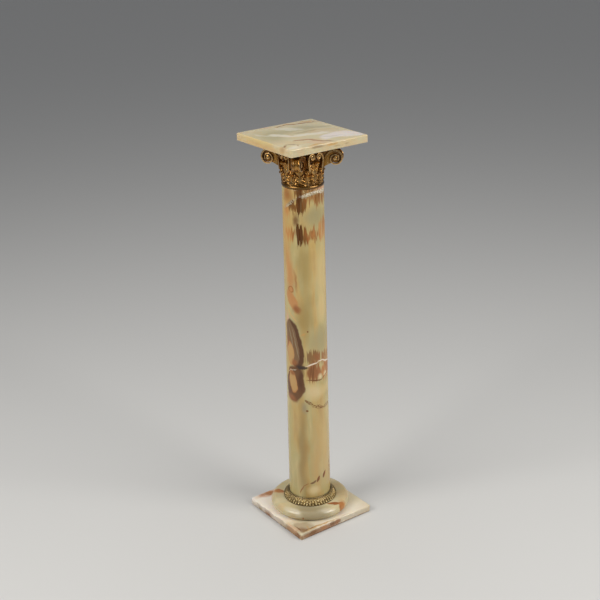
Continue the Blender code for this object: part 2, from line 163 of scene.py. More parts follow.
class WreathSettings(bpy.types.PropertyGroup):
    """Sizes of the foot wreath. Its place and height come from the frame."""

    clearance: length("Clearance", "Gap between the shaft and the wreath", 0.0005)
    rim: length("Rim", "Height of the wreath's foot", 0.0036)
    top_width: length("Top width", "Width of the plain lip against the shaft", 0.0026)
    lobes: IntProperty(name="Lobes", description="Number of lobes round the wreath", default=54)
    relief: length("Relief", "How far the lobes stand up", 0.0026)
    bead: length("Bead", "How far the beads above the lobes stand up", 0.0011)


class StageSettings(bpy.types.PropertyGroup):
    """Floor, lights and camera."""

    floor: colour("Floor", "The plain pale floor", srgb(206, 205, 202))
    floor_side: length("Floor side", "Length of the floor's sides", 60.0)
    sky: colour("Sky", "The even light from all around", (0.86, 0.88, 0.92))
    sky_strength: share("Sky strength", "How strong that light is", 0.26)
    side_power: FloatProperty(name="Side power", description="Power of each side light, watts", default=56.0)
    top_power: FloatProperty(name="Top power", description="Power of the light above, watts", default=18.0)
    camera_distance: length("Camera distance", "Level distance from the axis to the camera", 2.6302)
    camera_height: length("Camera height", "Height of the camera above the floor", 1.6422)
    camera_turn: rotation("Camera turn", "Where the camera stands, turned from straight in front", -35.94)
    camera_pitch: rotation("Camera pitch", "How far the camera looks down", 21.863)
    camera_yaw: rotation("Camera yaw", "How far the camera looks to the left of the axis", 0.294)
    camera_roll: rotation("Camera roll", "How far the camera leans", -1.466)
    lens: FloatProperty(name="Lens", description="Focal length, millimetres", default=69.716)


# Shapes


Shell = namedtuple("Shell", "points faces")


def polar(radius, angle, height):
    """Points at a radius, a turn from +X and a height."""
    return np.stack(np.broadcast_arrays(radius * np.cos(angle), radius * np.sin(angle), height), -1)


def spoke(angle):
    """The direction at an angle in a flat plane."""
    return np.array([math.cos(angle), math.sin(angle)])


def wound(radius, angle):
    """Points of a flat plane at a radius and a turn from its first direction."""
    return np.stack([radius * np.cos(angle), radius * np.sin(angle)], -1)


def full_turn(count):
    """Equal steps round a circle."""
    return np.arange(count) * (2 * math.pi / count)


def skin(rings, hollow=False):
    """A closed shell through equal rings of points, an array of ring, point and x, y, z.

    A hollow one joins its last ring to its first. Any other has a flat cap on both.
    """
    rings = np.asarray(rings, float)
    index = np.arange(rings.shape[0] * rings.shape[1]).reshape(rings.shape[:2])
    low = index if hollow else index[:-1]
    high = np.roll(index, -1, axis=0) if hollow else index[1:]
    quads = np.stack([low, np.roll(low, -1, axis=1), np.roll(high, -1, axis=1), high], -1)
    faces = quads.reshape(-1, 4).tolist()
    if not hollow:
        faces += [index[0][::-1].tolist(), index[-1].tolist()]
    return Shell(rings.reshape(-1, 3), faces)


def placed(shell, turn, lift=0.0):
    """The shell turned about the axis and raised."""
    c, s = math.cos(turn), math.sin(turn)
    spin = np.array([[c, s, 0.0], [-s, c, 0.0], [0.0, 0.0, 1.0]])
    return Shell(shell.points @ spin + [0.0, 0.0, lift], shell.faces)


def joined(shells):
    """Several shells as one."""
    points, faces = [], []
    count = 0
    for shell in shells:
        points.append(shell.points)
        faces += [[i + count for i in face] for face in shell.faces]
        count += len(shell.points)
    return Shell(np.concatenate(points), faces)


def turned(profile, sides):
    """A shell of revolution about Z. profile lists (radius, z) from bottom to top."""
    angles = full_turn(sides)
    return skin([polar(r, angles, z) for r, z in profile])


def arc(centre, radius, start, end, steps):
    """Points (r, z) along an arc, angles in degrees from the outward direction."""
    angles = np.radians(np.linspace(start, end, steps + 1))
    return [tuple(np.array(centre) + radius * spoke(a)) for a in angles]


def piece(name, shell, finish, node, sharp=40):
    """Makes the object that stands for a CAD node, riding on its body, its gentle edges smooth."""
    mesh = bpy.data.meshes.new(name)
    mesh.from_pydata(shell.points.tolist(), [], shell.faces)
    bm = bmesh.new()
    bm.from_mesh(mesh)
    bmesh.ops.recalc_face_normals(bm, faces=bm.faces)
    bm.to_mesh(mesh)
    bm.free()
    mesh.shade_smooth()
    mesh.set_sharp_from_angle(angle=math.radians(sharp))
    mesh.materials.append(finish)
    obj = bpy.data.objects.new(name, mesh)
    bpy.context.scene.collection.objects.link(obj)
    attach(obj, "root")
    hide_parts(node)
    return obj


# Stone


def eased_slab(low, high, corner, ease):
    """A square slab between two corners of a box, its upright corners and its rims rounded."""
    half, middle = (high.x - low.x) / 2, (high + low) / 2
    quarter_steps, ease_steps = 8, 6

    def outline(inset):
        """Points of the slab's outline, set in evenly."""
        points = []
        for k in range(4):
            for a in np.linspace(0.0, QUARTER, quarter_steps + 1) + k * QUARTER:
                centre = (half - corner) * math.sqrt(2) * spoke(QUARTER / 2 + k * QUARTER)
                points.append(centre + (corner - inset) * spoke(a))
        return np.array(points)

    rings = []
    for z, way in ((low.z + ease, -1), (high.z - ease, 1)):
        turns = np.linspace(0.0, QUARTER, ease_steps + 1)
        for a in turns[::-1] if way < 0 else turns:
            flat = outline(ease * (1 - math.cos(a))) + [middle.x, middle.y]
            height = np.full((len(flat), 1), z + way * ease * math.sin(a))
            rings.append(np.hstack([flat, height]))
    return skin(rings)


def shaft_shell(low, high, neck_radius, ease):
    """The shaft, straight-sided and a little thinner at the neck."""
    foot_radius = (high.x - low.x) / 2
    foot = arc((foot_radius - ease, low.z + ease), ease, -90, 0, 4)
    neck = arc((neck_radius - ease, high.z - ease), ease, 0, 90, 4)
    return turned(foot + neck, 192)


def disc_shell(low, high):
    """The base disc, with a half-round edge."""
    edge = (high.z - low.z) / 2
    rounding = arc(((high.x - low.x) / 2 - edge, low.z + edge), edge, -90, 90, 28)
    return turned(rounding, 192)


class PEDESTAL_OT_stone(bpy.types.Operator):
    """Makes the plinth, the base disc, the shaft and the top slab in onyx"""

    bl_idname = "pedestal.stone"
    bl_label = "Onyx Pieces"

    def execute(self, context):
        stone = context.scene.pedestal_stone
        for node, slot, grain, marks in (
            ("plinth", "plinth_onyx", PLINTH_GRAIN, PLINTH_MARKS),
            ("top_slab", "slab_onyx", SLAB_GRAIN, SLAB_MARKS),
        ):
            low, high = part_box(node)
            shell = eased_slab(low, high, stone.corner, stone.ease)
            finish = onyx(node + "_finish", stone, grain, solid_fields, marks)
            piece(node + "_stone", shell, finish, node)
        low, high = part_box("base_disc")
        finish = onyx("disc_finish", stone, DISC_GRAIN, solid_fields, DISC_MARKS)
        piece("base_disc_stone", disc_shell(low, high), finish, "base_disc")
        low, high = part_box("shaft")
        shell = shaft_shell(low, high, stone.neck_radius, stone.shaft_ease)
        finish = onyx("shaft_finish", stone, SHAFT_GRAIN, unrolled_fields, SHAFT_MARKS)
        piece("shaft_stone", shell, finish, "shaft")
        return {"FINISHED"}


# Foot wreath


def wreath_shell(wreath, low, high):
    """A sloping ring of rounded tongues with darts between them and a row of beads above."""
    outer = (high.x - low.x) / 2
    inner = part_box("shaft")[1].x + wreath.clearance
    tall = high.z - low.z
    steps_per_lobe, slope_steps = 10, 22
    phase = np.arange(wreath.lobes * steps_per_lobe) / steps_per_lobe
    turn = phase * (2 * math.pi / wreath.lobes)
    # From the middle of a tongue, -0.5 to 0.5 of the way from one dart to the next.
    side = (phase + 0.5) % 1.0 - 0.5
    foot = np.array([outer, wreath.rim])
    head = np.array([inner + wreath.top_width, tall])
    out = np.array([head[1] - foot[1], foot[0] - head[0]])
    out /= np.linalg.norm(out)

    def tongue(up):
        """Height of the tongues at a share of the way up the slope: round below, narrower above."""
        half_width = np.interp(up, [0.0, 0.08, 0.25, 0.70, 0.80], [0.30, 0.42, 0.46, 0.36, 0.0]) + 1e-6
        crown = np.interp(up, [0.0, 0.15, 0.6, 0.8], [0.75, 1.0, 0.8, 0.0])
        # Every other tongue is notched half a step higher.
        other = np.floor(phase + 0.5) % 2 / 2
        crown = crown * (0.62 + 0.38 * np.abs(np.sin(math.pi * (4 * up + other))))
        return crown * np.sqrt(np.clip(1 - (side / half_width) ** 2, 0.0, 1.0))

    def groove(up):
        """The line down the middle of each tongue."""
        return np.interp(up, [0.1, 0.3, 0.65], [0.0, 0.35, 0.0]) * np.exp(-((side / 0.07) ** 2))

    def bead(up):
        """A row of beads near the top, one above each dart and one above each tongue."""
        across = (2 * side + 0.5) % 1.0 - 0.5
        return np.sqrt(np.clip(1 - ((up - 0.88) / 0.09) ** 2 - (across / 0.40) ** 2, 0.0, 1.0))

    def row(radius, height):
        return polar(radius, turn, low.z + height)

    scallop = outer - wreath.relief * (1 - tongue(0.08))
    rings = [row(inner, 0.0), row(scallop, 0.0), row(scallop + wreath.relief * 0.1, wreath.rim * 0.5)]
    for up in np.linspace(0.02, 0.99, slope_steps):
        base = foot + (head - foot) * up - out * wreath.relief
        rise = wreath.relief * (tongue(up) - groove(up)) + wreath.bead * bead(up)
        radius = np.minimum(base[0] + out[0] * rise, outer)
        rings.append(row(radius, np.minimum(base[1] + out[1] * rise, tall)))
    lip = wreath.top_width / 2
    rings += [row(r + inner, z + tall - lip) for r, z in arc((lip, 0.0), lip, 30, 150, 5)]
    return skin(rings, hollow=True)


class PEDESTAL_OT_wreath(bpy.types.Operator):
    """Makes the cast brass wreath round the shaft's foot"""

    bl_idname = "pedestal.wreath"
    bl_label = "Foot Wreath"

    def execute(self, context):
        brass = context.scene.pedestal_brass
        tones = brass.antique_highlight, brass.antique, brass.antique_shade
        low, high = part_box("foot_wreath")
        shell = wreath_shell(context.scene.pedestal_wreath, low, high)
        finish = cast_brass("wreath_finish", *tones, brass.antique_roughness, brass.antique_hollow)
        piece("foot_wreath_casting", shell, finish, "foot_wreath")
        return {"FINISHED"}


# Capital


SCROLL_SHRINK_PER_TURN = 0.50
SCROLL_ENTRY = math.radians(150)
VOLUTE_TURNS, HELIX_TURNS = 1.5, 1.8
SCROLL_STEPS_PER_TURN = 28
# Places on the capital, as shares of its height.
LOWER_LEAF_FOOT, LOWER_LEAF_CROWN = 0.085, 0.330
UPPER_LEAF_FOOT, UPPER_LEAF_CROWN = 0.150, 0.600
STALK_FOOT, STALK_HEAD = 0.22, 0.46
BAND_SPRING, CORE_FOOT, HELIX_MIDDLE = 0.42, 0.38, 0.74
# How far the leaves lie off the bell and how far their tips stand out.
LOWER_LEAF_LIFT, UPPER_LEAF_LIFT = 0.0034, 0.0022
LOWER_LEAF_REACH, FACE_LEAF_REACH, CORNER_LEAF_REACH = 0.0078, 0.0124, 0.0250
CALYX_FOOT, CALYX_CROWN, CALYX_LIFT, CALYX_REACH = 0.40, 0.86, 0.0030, 0.0110


class Capital:
    """The capital's shells, worked out from its settings, the shaft's neck and its height."""

    def __init__(self, settings, neck_radius, height):
        self.set = settings
        self.neck_radius = neck_radius
        self.height = height
        self.bell = neck_radius - settings.bell_inset
        self.abacus_underside = height - settings.abacus_thick
        self.abacus_middle = self.bell + settings.bell_flare + settings.abacus_lip

    def bell_shell(self):
        """Neck ring, fillet, hollow neck and flaring bell."""
        ring = self.set.ring_height / 2
        rim = self.neck_radius + self.set.ring_overhang - ring
        flare = self.abacus_underside - self.set.ring_height
        profile = arc((rim, ring), ring, -90, 70, 14)
        profile += arc((self.bell + ring, ring * 3.0), ring, 250, 180, 8)
        for up in np.linspace(0.3, 1.0, 12):
            z = self.set.ring_height + flare * up
            profile.append((self.bell + self.set.bell_flare * up**4, z))
        profile.append((self.bell + self.set.bell_flare, self.abacus_underside + self.set.abacus_thick / 4))
        return turned(profile, 144)

    def midrib(self, foot, crown, lift, reach, along):
        """The midrib in the radial plane: up the bell, then out and down.

        Returns the radius, the height and the two parts of the outward normal.
        """
        fine = np.linspace(0.0, 1.0, 240)
        curl = np.clip((fine - 0.60) / 0.40, 0.0, 1.0)
        heading = math.radians(92) - math.radians(150) * curl
        r = np.concatenate([[0.0], np.cumsum(np.cos(heading[1:]))])
        z = np.concatenate([[0.0], np.cumsum(np.sin(heading[1:]))])
        r = self.bell + lift + (reach - lift) * r / r.max()
        z = self.height * (foot + (crown - foot) * z / z.max())
        dr, dz = np.gradient(r), np.gradient(z)
        run = np.hypot(dr, dz)
        return [np.interp(along, fine, v) for v in (r, z, dz / run, -dr / run)]

    def leaf(self, foot, crown, lift, reach, rows, columns, spread=0.56):
        """One acanthus leaf as a closed blade on +X: four lobes a side, each with three flutes.

        s runs up the midrib and t from edge to edge, -1 to 1. The lower half of the back is buried
        in the bell, and the upper half is a free blade. spread is half the leaf's width as a share
        of the way to the next leaf.
        """
        s, t = np.meshgrid(np.linspace(0.0, 1.0, rows), np.linspace(-1.0, 1.0, columns), indexing="ij")
        edge = np.abs(t)

        breadth = self.bell * LEAF_TURN * spread
        rise = 0.75 * breadth / (self.height * (crown - foot))

        def up_lobe(edge_share):
            """How far up its lobe a point lies. The veins between the lobes rise outwards."""
            return ((s - rise * edge_share) * 4 + 0.25) % 1.0

        lobe = np.sin(math.pi * up_lobe(edge))
        flute = np.abs(np.sin(3 * math.pi * up_lobe(edge)))
        outline = np.sin(math.pi * up_lobe(1.0))
        teeth = 1 - 0.12 * (1 - np.abs(np.sin(3 * math.pi * up_lobe(1.0))))
        stations = [0.0, 0.15, 0.35, 0.55, 0.70, 0.85, 0.95, 1.0]
        envelope = np.interp(s, stations, [0.86, 0.98, 1.00, 0.94, 0.78, 0.56, 0.38, 0.16])
        width = breadth * envelope * (0.62 + 0.38 * outline**0.6) * teeth
        r, z, nr, nz = self.midrib(foot, crown, lift, reach, s)
        crease, scale = self.set.leaf_crease, np.interp(s, [0.0, 0.12, 0.85, 1.0], [0.5, 1.0, 0.9, 0.4])
        flat = self.set.leaf_drop * np.interp(s, [0.55, 0.80], [1.0, 0.35])
        across = np.interp(edge, [0.0, 0.12, 0.45, 0.85, 1.0], [0.0, 0.15, 1.0, 0.8, 0.35])
        relief = crease * (1 - edge) ** 2 - flat * edge**2
        relief += scale * across * (self.set.leaf_dome * lobe - self.set.leaf_eye * (1 - lobe) ** 3)
        relief += scale * self.set.leaf_flute * (flute - 0.5) * np.clip(edge * 2.5 - 0.25, 0.0, 1.0)
        groove = 0.6 * np.exp(-(((edge - 0.22) / 0.08) ** 2))
        relief += scale * self.set.leaf_rib * (np.exp(-((t / 0.10) ** 2)) - groove)
        relief += self.set.leaf_flick * lobe * edge**6
        turn = t * width / r
        front = polar(r + nr * relief, turn, z + nz * relief)
        # The back has fewer columns. It starts and ends on the same edges as the front.
        every = (columns - 1) // 4
        behind = relief[:, ::every] * 0.5 - flat[:, ::every] * t[:, ::every] ** 2 * 0.5 - self.set.leaf_thick
        buried = 1 - np.interp(s[:, ::every], [0.45, 0.70], [0.0, 1.0])
        radius = r[:, ::every] + nr[:, ::every] * behind
        radius += (self.bell - self.set.leaf_thick / 2 - radius) * buried
        back = polar(radius, turn[:, ::every] * 0.98, z[:, ::every] + nz[:, ::every] * behind)
        return skin(np.concatenate([front, back[:, ::-1]], axis=1))

    def scroll_line(self, start, heading, centre, radius, turns, thick):
        """The middle line of a scroll's band and half its thickness, in the scroll's own plane.

        The band leaves start along heading, meets the scroll at its upper left and winds in
        clockwise.
        """
        turned_by = np.linspace(0.0, 2 * math.pi * turns, round(turns * SCROLL_STEPS_PER_TURN) + 1)
        half = thick * (1 - 0.45 * turned_by / turned_by[-1]) / 2
        reach = scroll_radius(radius, turned_by) - half
        angle = SCROLL_ENTRY - turned_by
        winding = centre + wound(reach, angle)
        meet, tangent = winding[0], winding[1] - winding[0]
        tangent = tangent / np.linalg.norm(tangent)
        span = np.linalg.norm(meet - start)
        q = np.linspace(0.0, 0.95, 14)[:, None]
        stem = (2 * q**3 - 3 * q**2 + 1) * start + (q**3 - 2 * q**2 + q) * heading * span
        stem += (3 * q**2 - 2 * q**3) * meet + (q**3 - q**2) * tangent * span
        return np.concatenate([stem, winding]), np.concatenate([np.full(len(stem), thick / 2), half])

    def volute_plane(self, side, offset):
        """Where one side of the volute on +X springs, the level way it runs, and how far it runs.

        offset is how far the plane lies from the corner's middle plane at the volute's tip.
        """
        spring = polar(self.bell + self.set.stalk_radius / 2, side * LEAF_TURN / 2, 0.0)
        tip = np.array([self.set.volute_reach, side * offset, 0.0])
        run = np.linalg.norm(tip - spring)
        return spring, (tip - spring)[:2] / run, run

    def volute_centre(self, run):
        """The scroll's centre in its plane: its top touches the abacus and its side the reach."""
        top = scroll_radius(self.set.volute_radius, SCROLL_ENTRY - QUARTER)
        return np.array([run - self.set.volute_radius, self.abacus_underside - top])

    def volute_band(self, side):
        """The raised and fluted band of one scroll of the volute on +X."""
        volute = self.set
        origin, way, run = self.volute_plane(side, (volute.volute_slot + volute.volute_band) / 2)
        start = np.array([0.0, self.height * BAND_SPRING])
        line, half = self.scroll_line(
            start,
            spoke(math.radians(78)),
            self.volute_centre(run),
            volute.volute_radius,
            VOLUTE_TURNS,
            volute.volute_band_thick,
        )
        return swept(line, half, origin, way, volute.volute_band, FLUTED_SECTION)

    def between_scrolls(self, outline, offset, crown=0.0):
        """A shell between the two scrolls of the volute on +X, domed on both sides by crown."""
        rings = []
        for side in (-1, 1):
            domed = []
            for grow, out in ((1.0, 0.0), (0.92, 0.45), (0.70, 0.80), (0.35, 1.0)):
                origin, way, run = self.volute_plane(side, offset + crown * out)
                centre = self.volute_centre(run)
                points = centre + (outline(centre) - centre) * grow
                domed.append(upright(points, origin, way))
            domed = domed if crown else domed[:1]
            rings += domed[::-1] if side < 0 else domed
        return skin(rings)

    def web_outline(self, centre):
        """One whole turn of the scroll, set in by the depth of the slot."""
        turned_by = np.linspace(0.0, 2 * math.pi, SCROLL_STEPS_PER_TURN + 1)
        reach = scroll_radius(self.set.volute_radius, turned_by) - self.set.volute_slot_depth
        angle = SCROLL_ENTRY - turned_by
        return centre + wound(reach, angle)

    def core_outline(self, centre):
        """The solid corner behind the scroll, from the bell out and up under the abacus."""
        top = self.abacus_underside + self.set.abacus_thick / 2
        stalk, radius = self.set.stalk_radius, self.set.volute_radius
        return np.array([
            (-stalk, top),
            (-stalk, self.height * CORE_FOOT),
            (stalk, self.height * (CORE_FOOT + 0.08)),
            (centre[0] - radius / 3, centre[1] - radius / 2),
            (centre[0], top),
        ])

    def eye_outline(self, centre):
        return centre + wound(self.set.volute_eye, full_turn(28))

    def volute(self):
        """The volute on +X: two bands, the sunk web and core between them and a domed eye."""
        band = self.set.volute_band
        middle = (self.set.volute_slot + band) / 2
        return [
            self.volute_band(-1),
            self.volute_band(1),
            self.between_scrolls(self.web_outline, middle - band * 0.80),
            self.between_scrolls(self.core_outline, middle - band * 0.95),
            self.between_scrolls(self.eye_outline, middle + band * 0.10, crown=band * 0.5),
        ]

    def helix(self, side):
        """One of the two small scrolls that meet on the middle of the face on +X."""
        helix = self.set
        spring = self.bell * math.sin(LEAF_TURN / 2)
        origin = np.array([self.bell + helix.helix_standoff, side * spring, 0.0])
        start = np.array([0.0, self.height * BAND_SPRING])
        centre = np.array([spring - helix.helix_radius - helix.helix_gap / 2, self.height * HELIX_MIDDLE])
        line, half = self.scroll_line(
            start, spoke(QUARTER), centre, helix.helix_radius, HELIX_TURNS, helix.helix_band
        )
        # The band's inner half is buried in the bell.
        return swept(line, half, origin, np.array([0.0, -side]), helix.helix_standoff * 2.4, ROUND_SECTION)

    def abacus(self):
        """The abacus: a square with hollow sides and cut corners, moulded below its top fillet."""
        cut = self.set.abacus_corner / 2 / math.sqrt(2)
        along = (self.set.volute_reach - self.set.abacus_setback) / math.sqrt(2)
        q = np.linspace(-1.0, 1.0, 29)
        x = along + cut / 2 - (along + cut / 2 - self.abacus_middle) * np.cos(q * QUARTER) ** 0.8
        side = np.stack([x, q * (along - cut / 2)], -1)
        outline = np.concatenate([placed_flat(side, k * QUARTER) for k in range(4)])
        thick = self.set.abacus_thick
        # Height as a share of the thickness and growth of the outline: ovolo, groove and fillet.
        ovolo = [(0.42 * math.sin(a), 0.945 + 0.035 * (1 - math.cos(a))) for a in np.linspace(0, QUARTER, 7)]
        levels = ovolo + [(0.47, 0.968), (0.53, 0.968), (0.56, 1.0), (1.0, 1.0)]
        return skin([
            np.hstack([outline * grow, np.full((len(outline), 1), self.abacus_underside + thick * up)])
            for up, grow in levels
        ])

    def fleuron(self):
        """The flower on the middle of the abacus side on +X: four cleft petals round a bud."""
        middle = self.height - self.set.abacus_thick * 0.45
        turns = full_turn(48)
        petal = 0.80 + 0.20 * np.abs(np.cos(2 * turns)) - 0.07 * np.abs(np.cos(4 * turns)) ** 8
        rings = []
        for grow, out in ((0.90, -0.5), (1.0, 0.2), (0.98, 0.42), (0.85, 0.52), (0.55, 0.30), (0.42, 0.35)):
            rings.append((grow * petal, out))
        for a in np.linspace(0.2, 1.35, 6):
            rings.append((0.34 * np.cos(a) * np.ones_like(turns), 0.40 + 0.60 * math.sin(a)))
        radius = self.set.fleuron_radius
        return skin([
            np.stack([
                np.full(len(turns), self.abacus_middle + self.set.fleuron_thick * out),
                radius * grow * np.cos(turns),
                middle + radius * grow * np.sin(turns) * 0.8,
            ], -1)
            for grow, out in rings
        ])

    def stalk(self):
        """A fluted stalk with a collar and a flaring cup, from which a volute and a helix spring."""
        turns = full_turn(36)
        flutes = 1 + 0.10 * np.cos(9 * turns)
        petals = 1 + 0.16 * np.abs(np.cos(2.5 * turns))
        centre = self.bell + self.set.stalk_radius / 3
        foot, rise = self.height * STALK_FOOT, self.height * (STALK_HEAD - STALK_FOOT)
        rings = []
        for up, grow, wave in (
            (0.0, 0.62, flutes),
            (0.35, 0.72, flutes),
            (0.62, 0.80, flutes),
            (0.64, 0.95, 1.0),
            (0.70, 1.04, 1.0),
            (0.76, 0.95, 1.0),
            (0.78, 0.78, petals),
            (0.88, 0.92, petals),
            (0.97, 1.22, petals),
            (1.0, 1.20, petals),
            (0.94, 0.70, petals),
        ):
            flat = self.set.stalk_radius * grow * wave
            ring = np.stack([centre + flat * np.cos(turns), flat * np.sin(turns)], -1)
            rings.append(np.hstack([ring, np.full((len(turns), 1), foot + rise * up)]))
        return skin(rings)

    def casting(self):
        """Every shell of the capital, standing on z = 0."""
        lower = self.leaf(LOWER_LEAF_FOOT, LOWER_LEAF_CROWN, LOWER_LEAF_LIFT, LOWER_LEAF_REACH, 56, 33)
        face_leaf = self.leaf(UPPER_LEAF_FOOT, UPPER_LEAF_CROWN, UPPER_LEAF_LIFT, FACE_LEAF_REACH, 76, 41)
        corner_leaf = self.leaf(UPPER_LEAF_FOOT, UPPER_LEAF_CROWN, UPPER_LEAF_LIFT, CORNER_LEAF_REACH, 76, 41)
        calyx = self.leaf(CALYX_FOOT, CALYX_CROWN, CALYX_LIFT, CALYX_REACH, 48, 25, spread=0.34)
        stalk = self.stalk()
        on_face = [face_leaf, self.fleuron(), self.helix(-1), self.helix(1)]
        on_corner = [corner_leaf, *self.volute()]
        shells = [self.bell_shell(), self.abacus()]
        for k in range(4):
            face = k * QUARTER
            shells += [placed(shell, face) for shell in on_face]
            shells += [placed(shell, face + LEAF_TURN) for shell in on_corner]
            for side in (-1, 1):
                shells += [placed(shell, face + side * LEAF_TURN / 2) for shell in (lower, stalk, calyx)]
        return joined(shells)


# Cross-sections of bands: (across, out) as shares of half the width and half the thickness.
FLUTED_SECTION = [
    (-1.0, -0.9), (-1.0, 0.55), (-0.90, 0.90), (-0.62, 1.0), (-0.40, 0.80), (-0.20, 0.52),
    (0.20, 0.52), (0.40, 0.80), (0.62, 1.0), (0.90, 0.90), (1.0, 0.55), (1.0, -0.9),
]
ROUND_SECTION = [
    (-1.0, -0.8), (-1.0, 0.5), (-0.92, 0.88), (-0.75, 1.0), (0.75, 1.0), (0.92, 0.88),
    (1.0, 0.5), (1.0, -0.5), (0.92, -0.88), (0.75, -1.0), (-0.75, -1.0),
]


def scroll_radius(radius, turned_by):
    """The outer radius of a scroll, where radius is the reach on its right-hand side."""
    return radius * SCROLL_SHRINK_PER_TURN ** ((turned_by - SCROLL_ENTRY) / (2 * math.pi))


def upright(points, origin, way):
    """Points (u, z) of an upright plane as points in space."""
    points = np.asarray(points)
    return np.hstack([points[:, :1] * way, points[:, 1:]]) + origin


def placed_flat(points, turn):
    """Points (x, y) turned about the axis."""
    c, s = math.cos(turn), math.sin(turn)
    return points @ np.array([[c, s], [-s, c]])


def swept(line, half, origin, way, width, section):
    """A band of the given width and cross-section along a line in the upright plane at origin."""
    across = np.array([-way[1], way[0], 0.0]) * width / 2
    tangents = np.gradient(line, axis=0)
    tangents /= np.linalg.norm(tangents, axis=1)[:, None]
    rings = []
    for point, thick, (along_u, along_z) in zip(line, half, tangents):
        normal = np.array([-along_z, along_u]) * thick
        ring = [upright([point + normal * out], origin + across * side, way)[0] for side, out in section]
        rings.append(ring)
    return skin(rings)


class PEDESTAL_OT_capital(bpy.types.Operator):
    """Makes the cast gilt brass capital"""

    bl_idname = "pedestal.capital"
    bl_label = "Capital"

    def execute(self, context):
        brass = context.scene.pedestal_brass
        low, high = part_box("capital")
        neck_radius = context.scene.pedestal_stone.neck_radius
        shell = Capital(context.scene.pedestal_capital, neck_radius, high.z - low.z).casting()
        tones = brass.gilt_highlight, brass.gilt, brass.gilt_shade
        finish = cast_brass("capital_finish", *tones, brass.gilt_roughness, brass.gilt_hollow, low.z)
        piece("capital_casting", placed(shell, 0.0, low.z), finish, "capital", sharp=50)
        return {"FINISHED"}


# Finishes


class Recipe:
    """A node tree, with a short call for each kind of node in use."""

    def __init__(self, tree):
        self.tree = tree

    def feed(self, socket, value):
        """Sets a socket to a value, or links it to another node's output."""
        if isinstance(value, bpy.types.NodeSocket):
            self.tree.links.new(value, socket)
        elif socket.type == "RGBA":
            socket.default_value = (*value[:3], 1.0)
        else:
            socket.default_value = value

    def node(self, kind, values, **settings):
        """A node of a kind, its settings set and its inputs fed, by name or by number."""
        made = self.tree.nodes.new(kind if kind.startswith("NodeGroup") else "ShaderNode" + kind)
        for key, value in settings.items():
            setattr(made, key, value)
        for socket, value in values.items():
            self.feed(made.inputs[socket], value)
        return made

    def math(self, operation, first, second=0.0):
        return self.node("Math", {0: first, 1: second}, operation=operation).outputs[0]

    def vector(self, operation, first, second=(0.0, 0.0, 0.0), third=(0.0, 0.0, 0.0)):
        made = self.node("VectorMath", {0: first, 1: second, 2: third}, operation=operation)
        return made.outputs["Value" if operation == "LENGTH" else "Vector"]

    def noise(self, vector, scale, detail=2.0, roughness=0.5, output="Fac"):
        values = {"Vector": vector, "Scale": scale, "Detail": detail, "Roughness": roughness}
        return self.node("TexNoise", values).outputs[output]

    def stretched(self, vector, turn, size):
        """Coordinates turned about Z and divided by a size on each axis."""
        values = {"Vector": vector, "Rotation": (0.0, 0.0, turn), "Scale": size}
        return self.node("Mapping", values, vector_type="TEXTURE").outputs[0]

    def ramp(self, factor, stops):
        """A colour ramp. Each stop is (place, colour, opacity)."""
        made = self.node("ValToRGB", {"Fac": factor})
        elements = made.color_ramp.elements
        while len(elements) < len(stops):
            elements.new(0.5)
        for element, (place, tone, opacity) in zip(elements, stops):
            element.position = place
            element.color = (*tone, opacity)
        return made

    def fade(self, value, start, end, low=0.0, high=1.0):
        """A smooth step from low to high as the value goes from start to end."""
        values = {"Value": value, "From Min": start, "From Max": end, "To Min": low, "To Max": high}
        return self.node("MapRange", values, interpolation_type="SMOOTHSTEP").outputs[0]

    def mix(self, factor, below, above, blend="MIX"):
        """Lays one colour over another."""
        made = self.node("Mix", {}, data_type="RGBA", blend_type=blend)
        self.feed(made.inputs["Factor"], factor)
        colours = [socket for socket in made.inputs if socket.type == "RGBA"]
        self.feed(colours[0], below)
        self.feed(colours[1], above)
        return next(socket for socket in made.outputs if socket.type == "RGBA")

    def bump(self, height, strength, distance):
        values = {"Height": height, "Strength": strength, "Distance": distance}
        return self.node("Bump", values).outputs[0]


def new_finish(name):
    """A new material, the recipe of its nodes and its shader."""
    material = bpy.data.materials.new(name)
    material.use_nodes = True
    return material, Recipe(material.node_tree), material.node_tree.nodes["Principled BSDF"]


# A mark in the stone: a spot, lens or streak. place and size are in metres in the field's own
# coordinates, tilt is in degrees, and zones list (share of the way out, colour, opacity).
Mark = namedtuple("Mark", "place size tilt field zones broken")

INK = srgb(52, 36, 26)
DARK = srgb(86, 46, 12)
UMBER = srgb(118, 72, 28)
CHESTNUT = srgb(130, 80, 40)
RUST = srgb(152, 94, 48)
ORANGE = srgb(192, 132, 76)
OCHRE = srgb(196, 152, 88)
AMBER = srgb(204, 166, 108)
PINK = srgb(210, 168, 138)
HORN = srgb(128, 97, 63)
SMOKE = srgb(154, 142, 112)
OLIVE = srgb(158, 134, 78)
MOSS = srgb(164, 152, 112)
STRAW = srgb(208, 184, 128)
CREAM = srgb(222, 202, 156)
CHALK = srgb(204, 192, 164)
PEARL = srgb(224, 216, 196)
LILAC = srgb(222, 212, 204)
SAGE = srgb(170, 162, 124)
MILK = srgb(246, 236, 222)


def soft(tone, opacity):
    """A cloud that is densest in the middle."""
    return [(0.0, tone, opacity), (0.35, tone, opacity * 0.85), (1.0, tone, 0.0)]


def firm(tone, opacity):
    """A patch with a clear edge."""
    return [(0.0, tone, opacity), (0.72, tone, opacity), (1.0, tone, 0.0)]


def crisp(tone, opacity):
    """A patch with a sharp edge."""
    return [(0.0, tone, opacity), (0.90, tone, opacity), (1.0, tone, 0.0)]


def kernel():
    """An amber patch with an orange rim that fades into brown."""
    tone = srgb(192, 152, 94)
    return [(0.0, tone, 1.0), (0.74, tone, 0.95), (0.90, ORANGE, 0.85), (1.0, RUST, 0.0)]


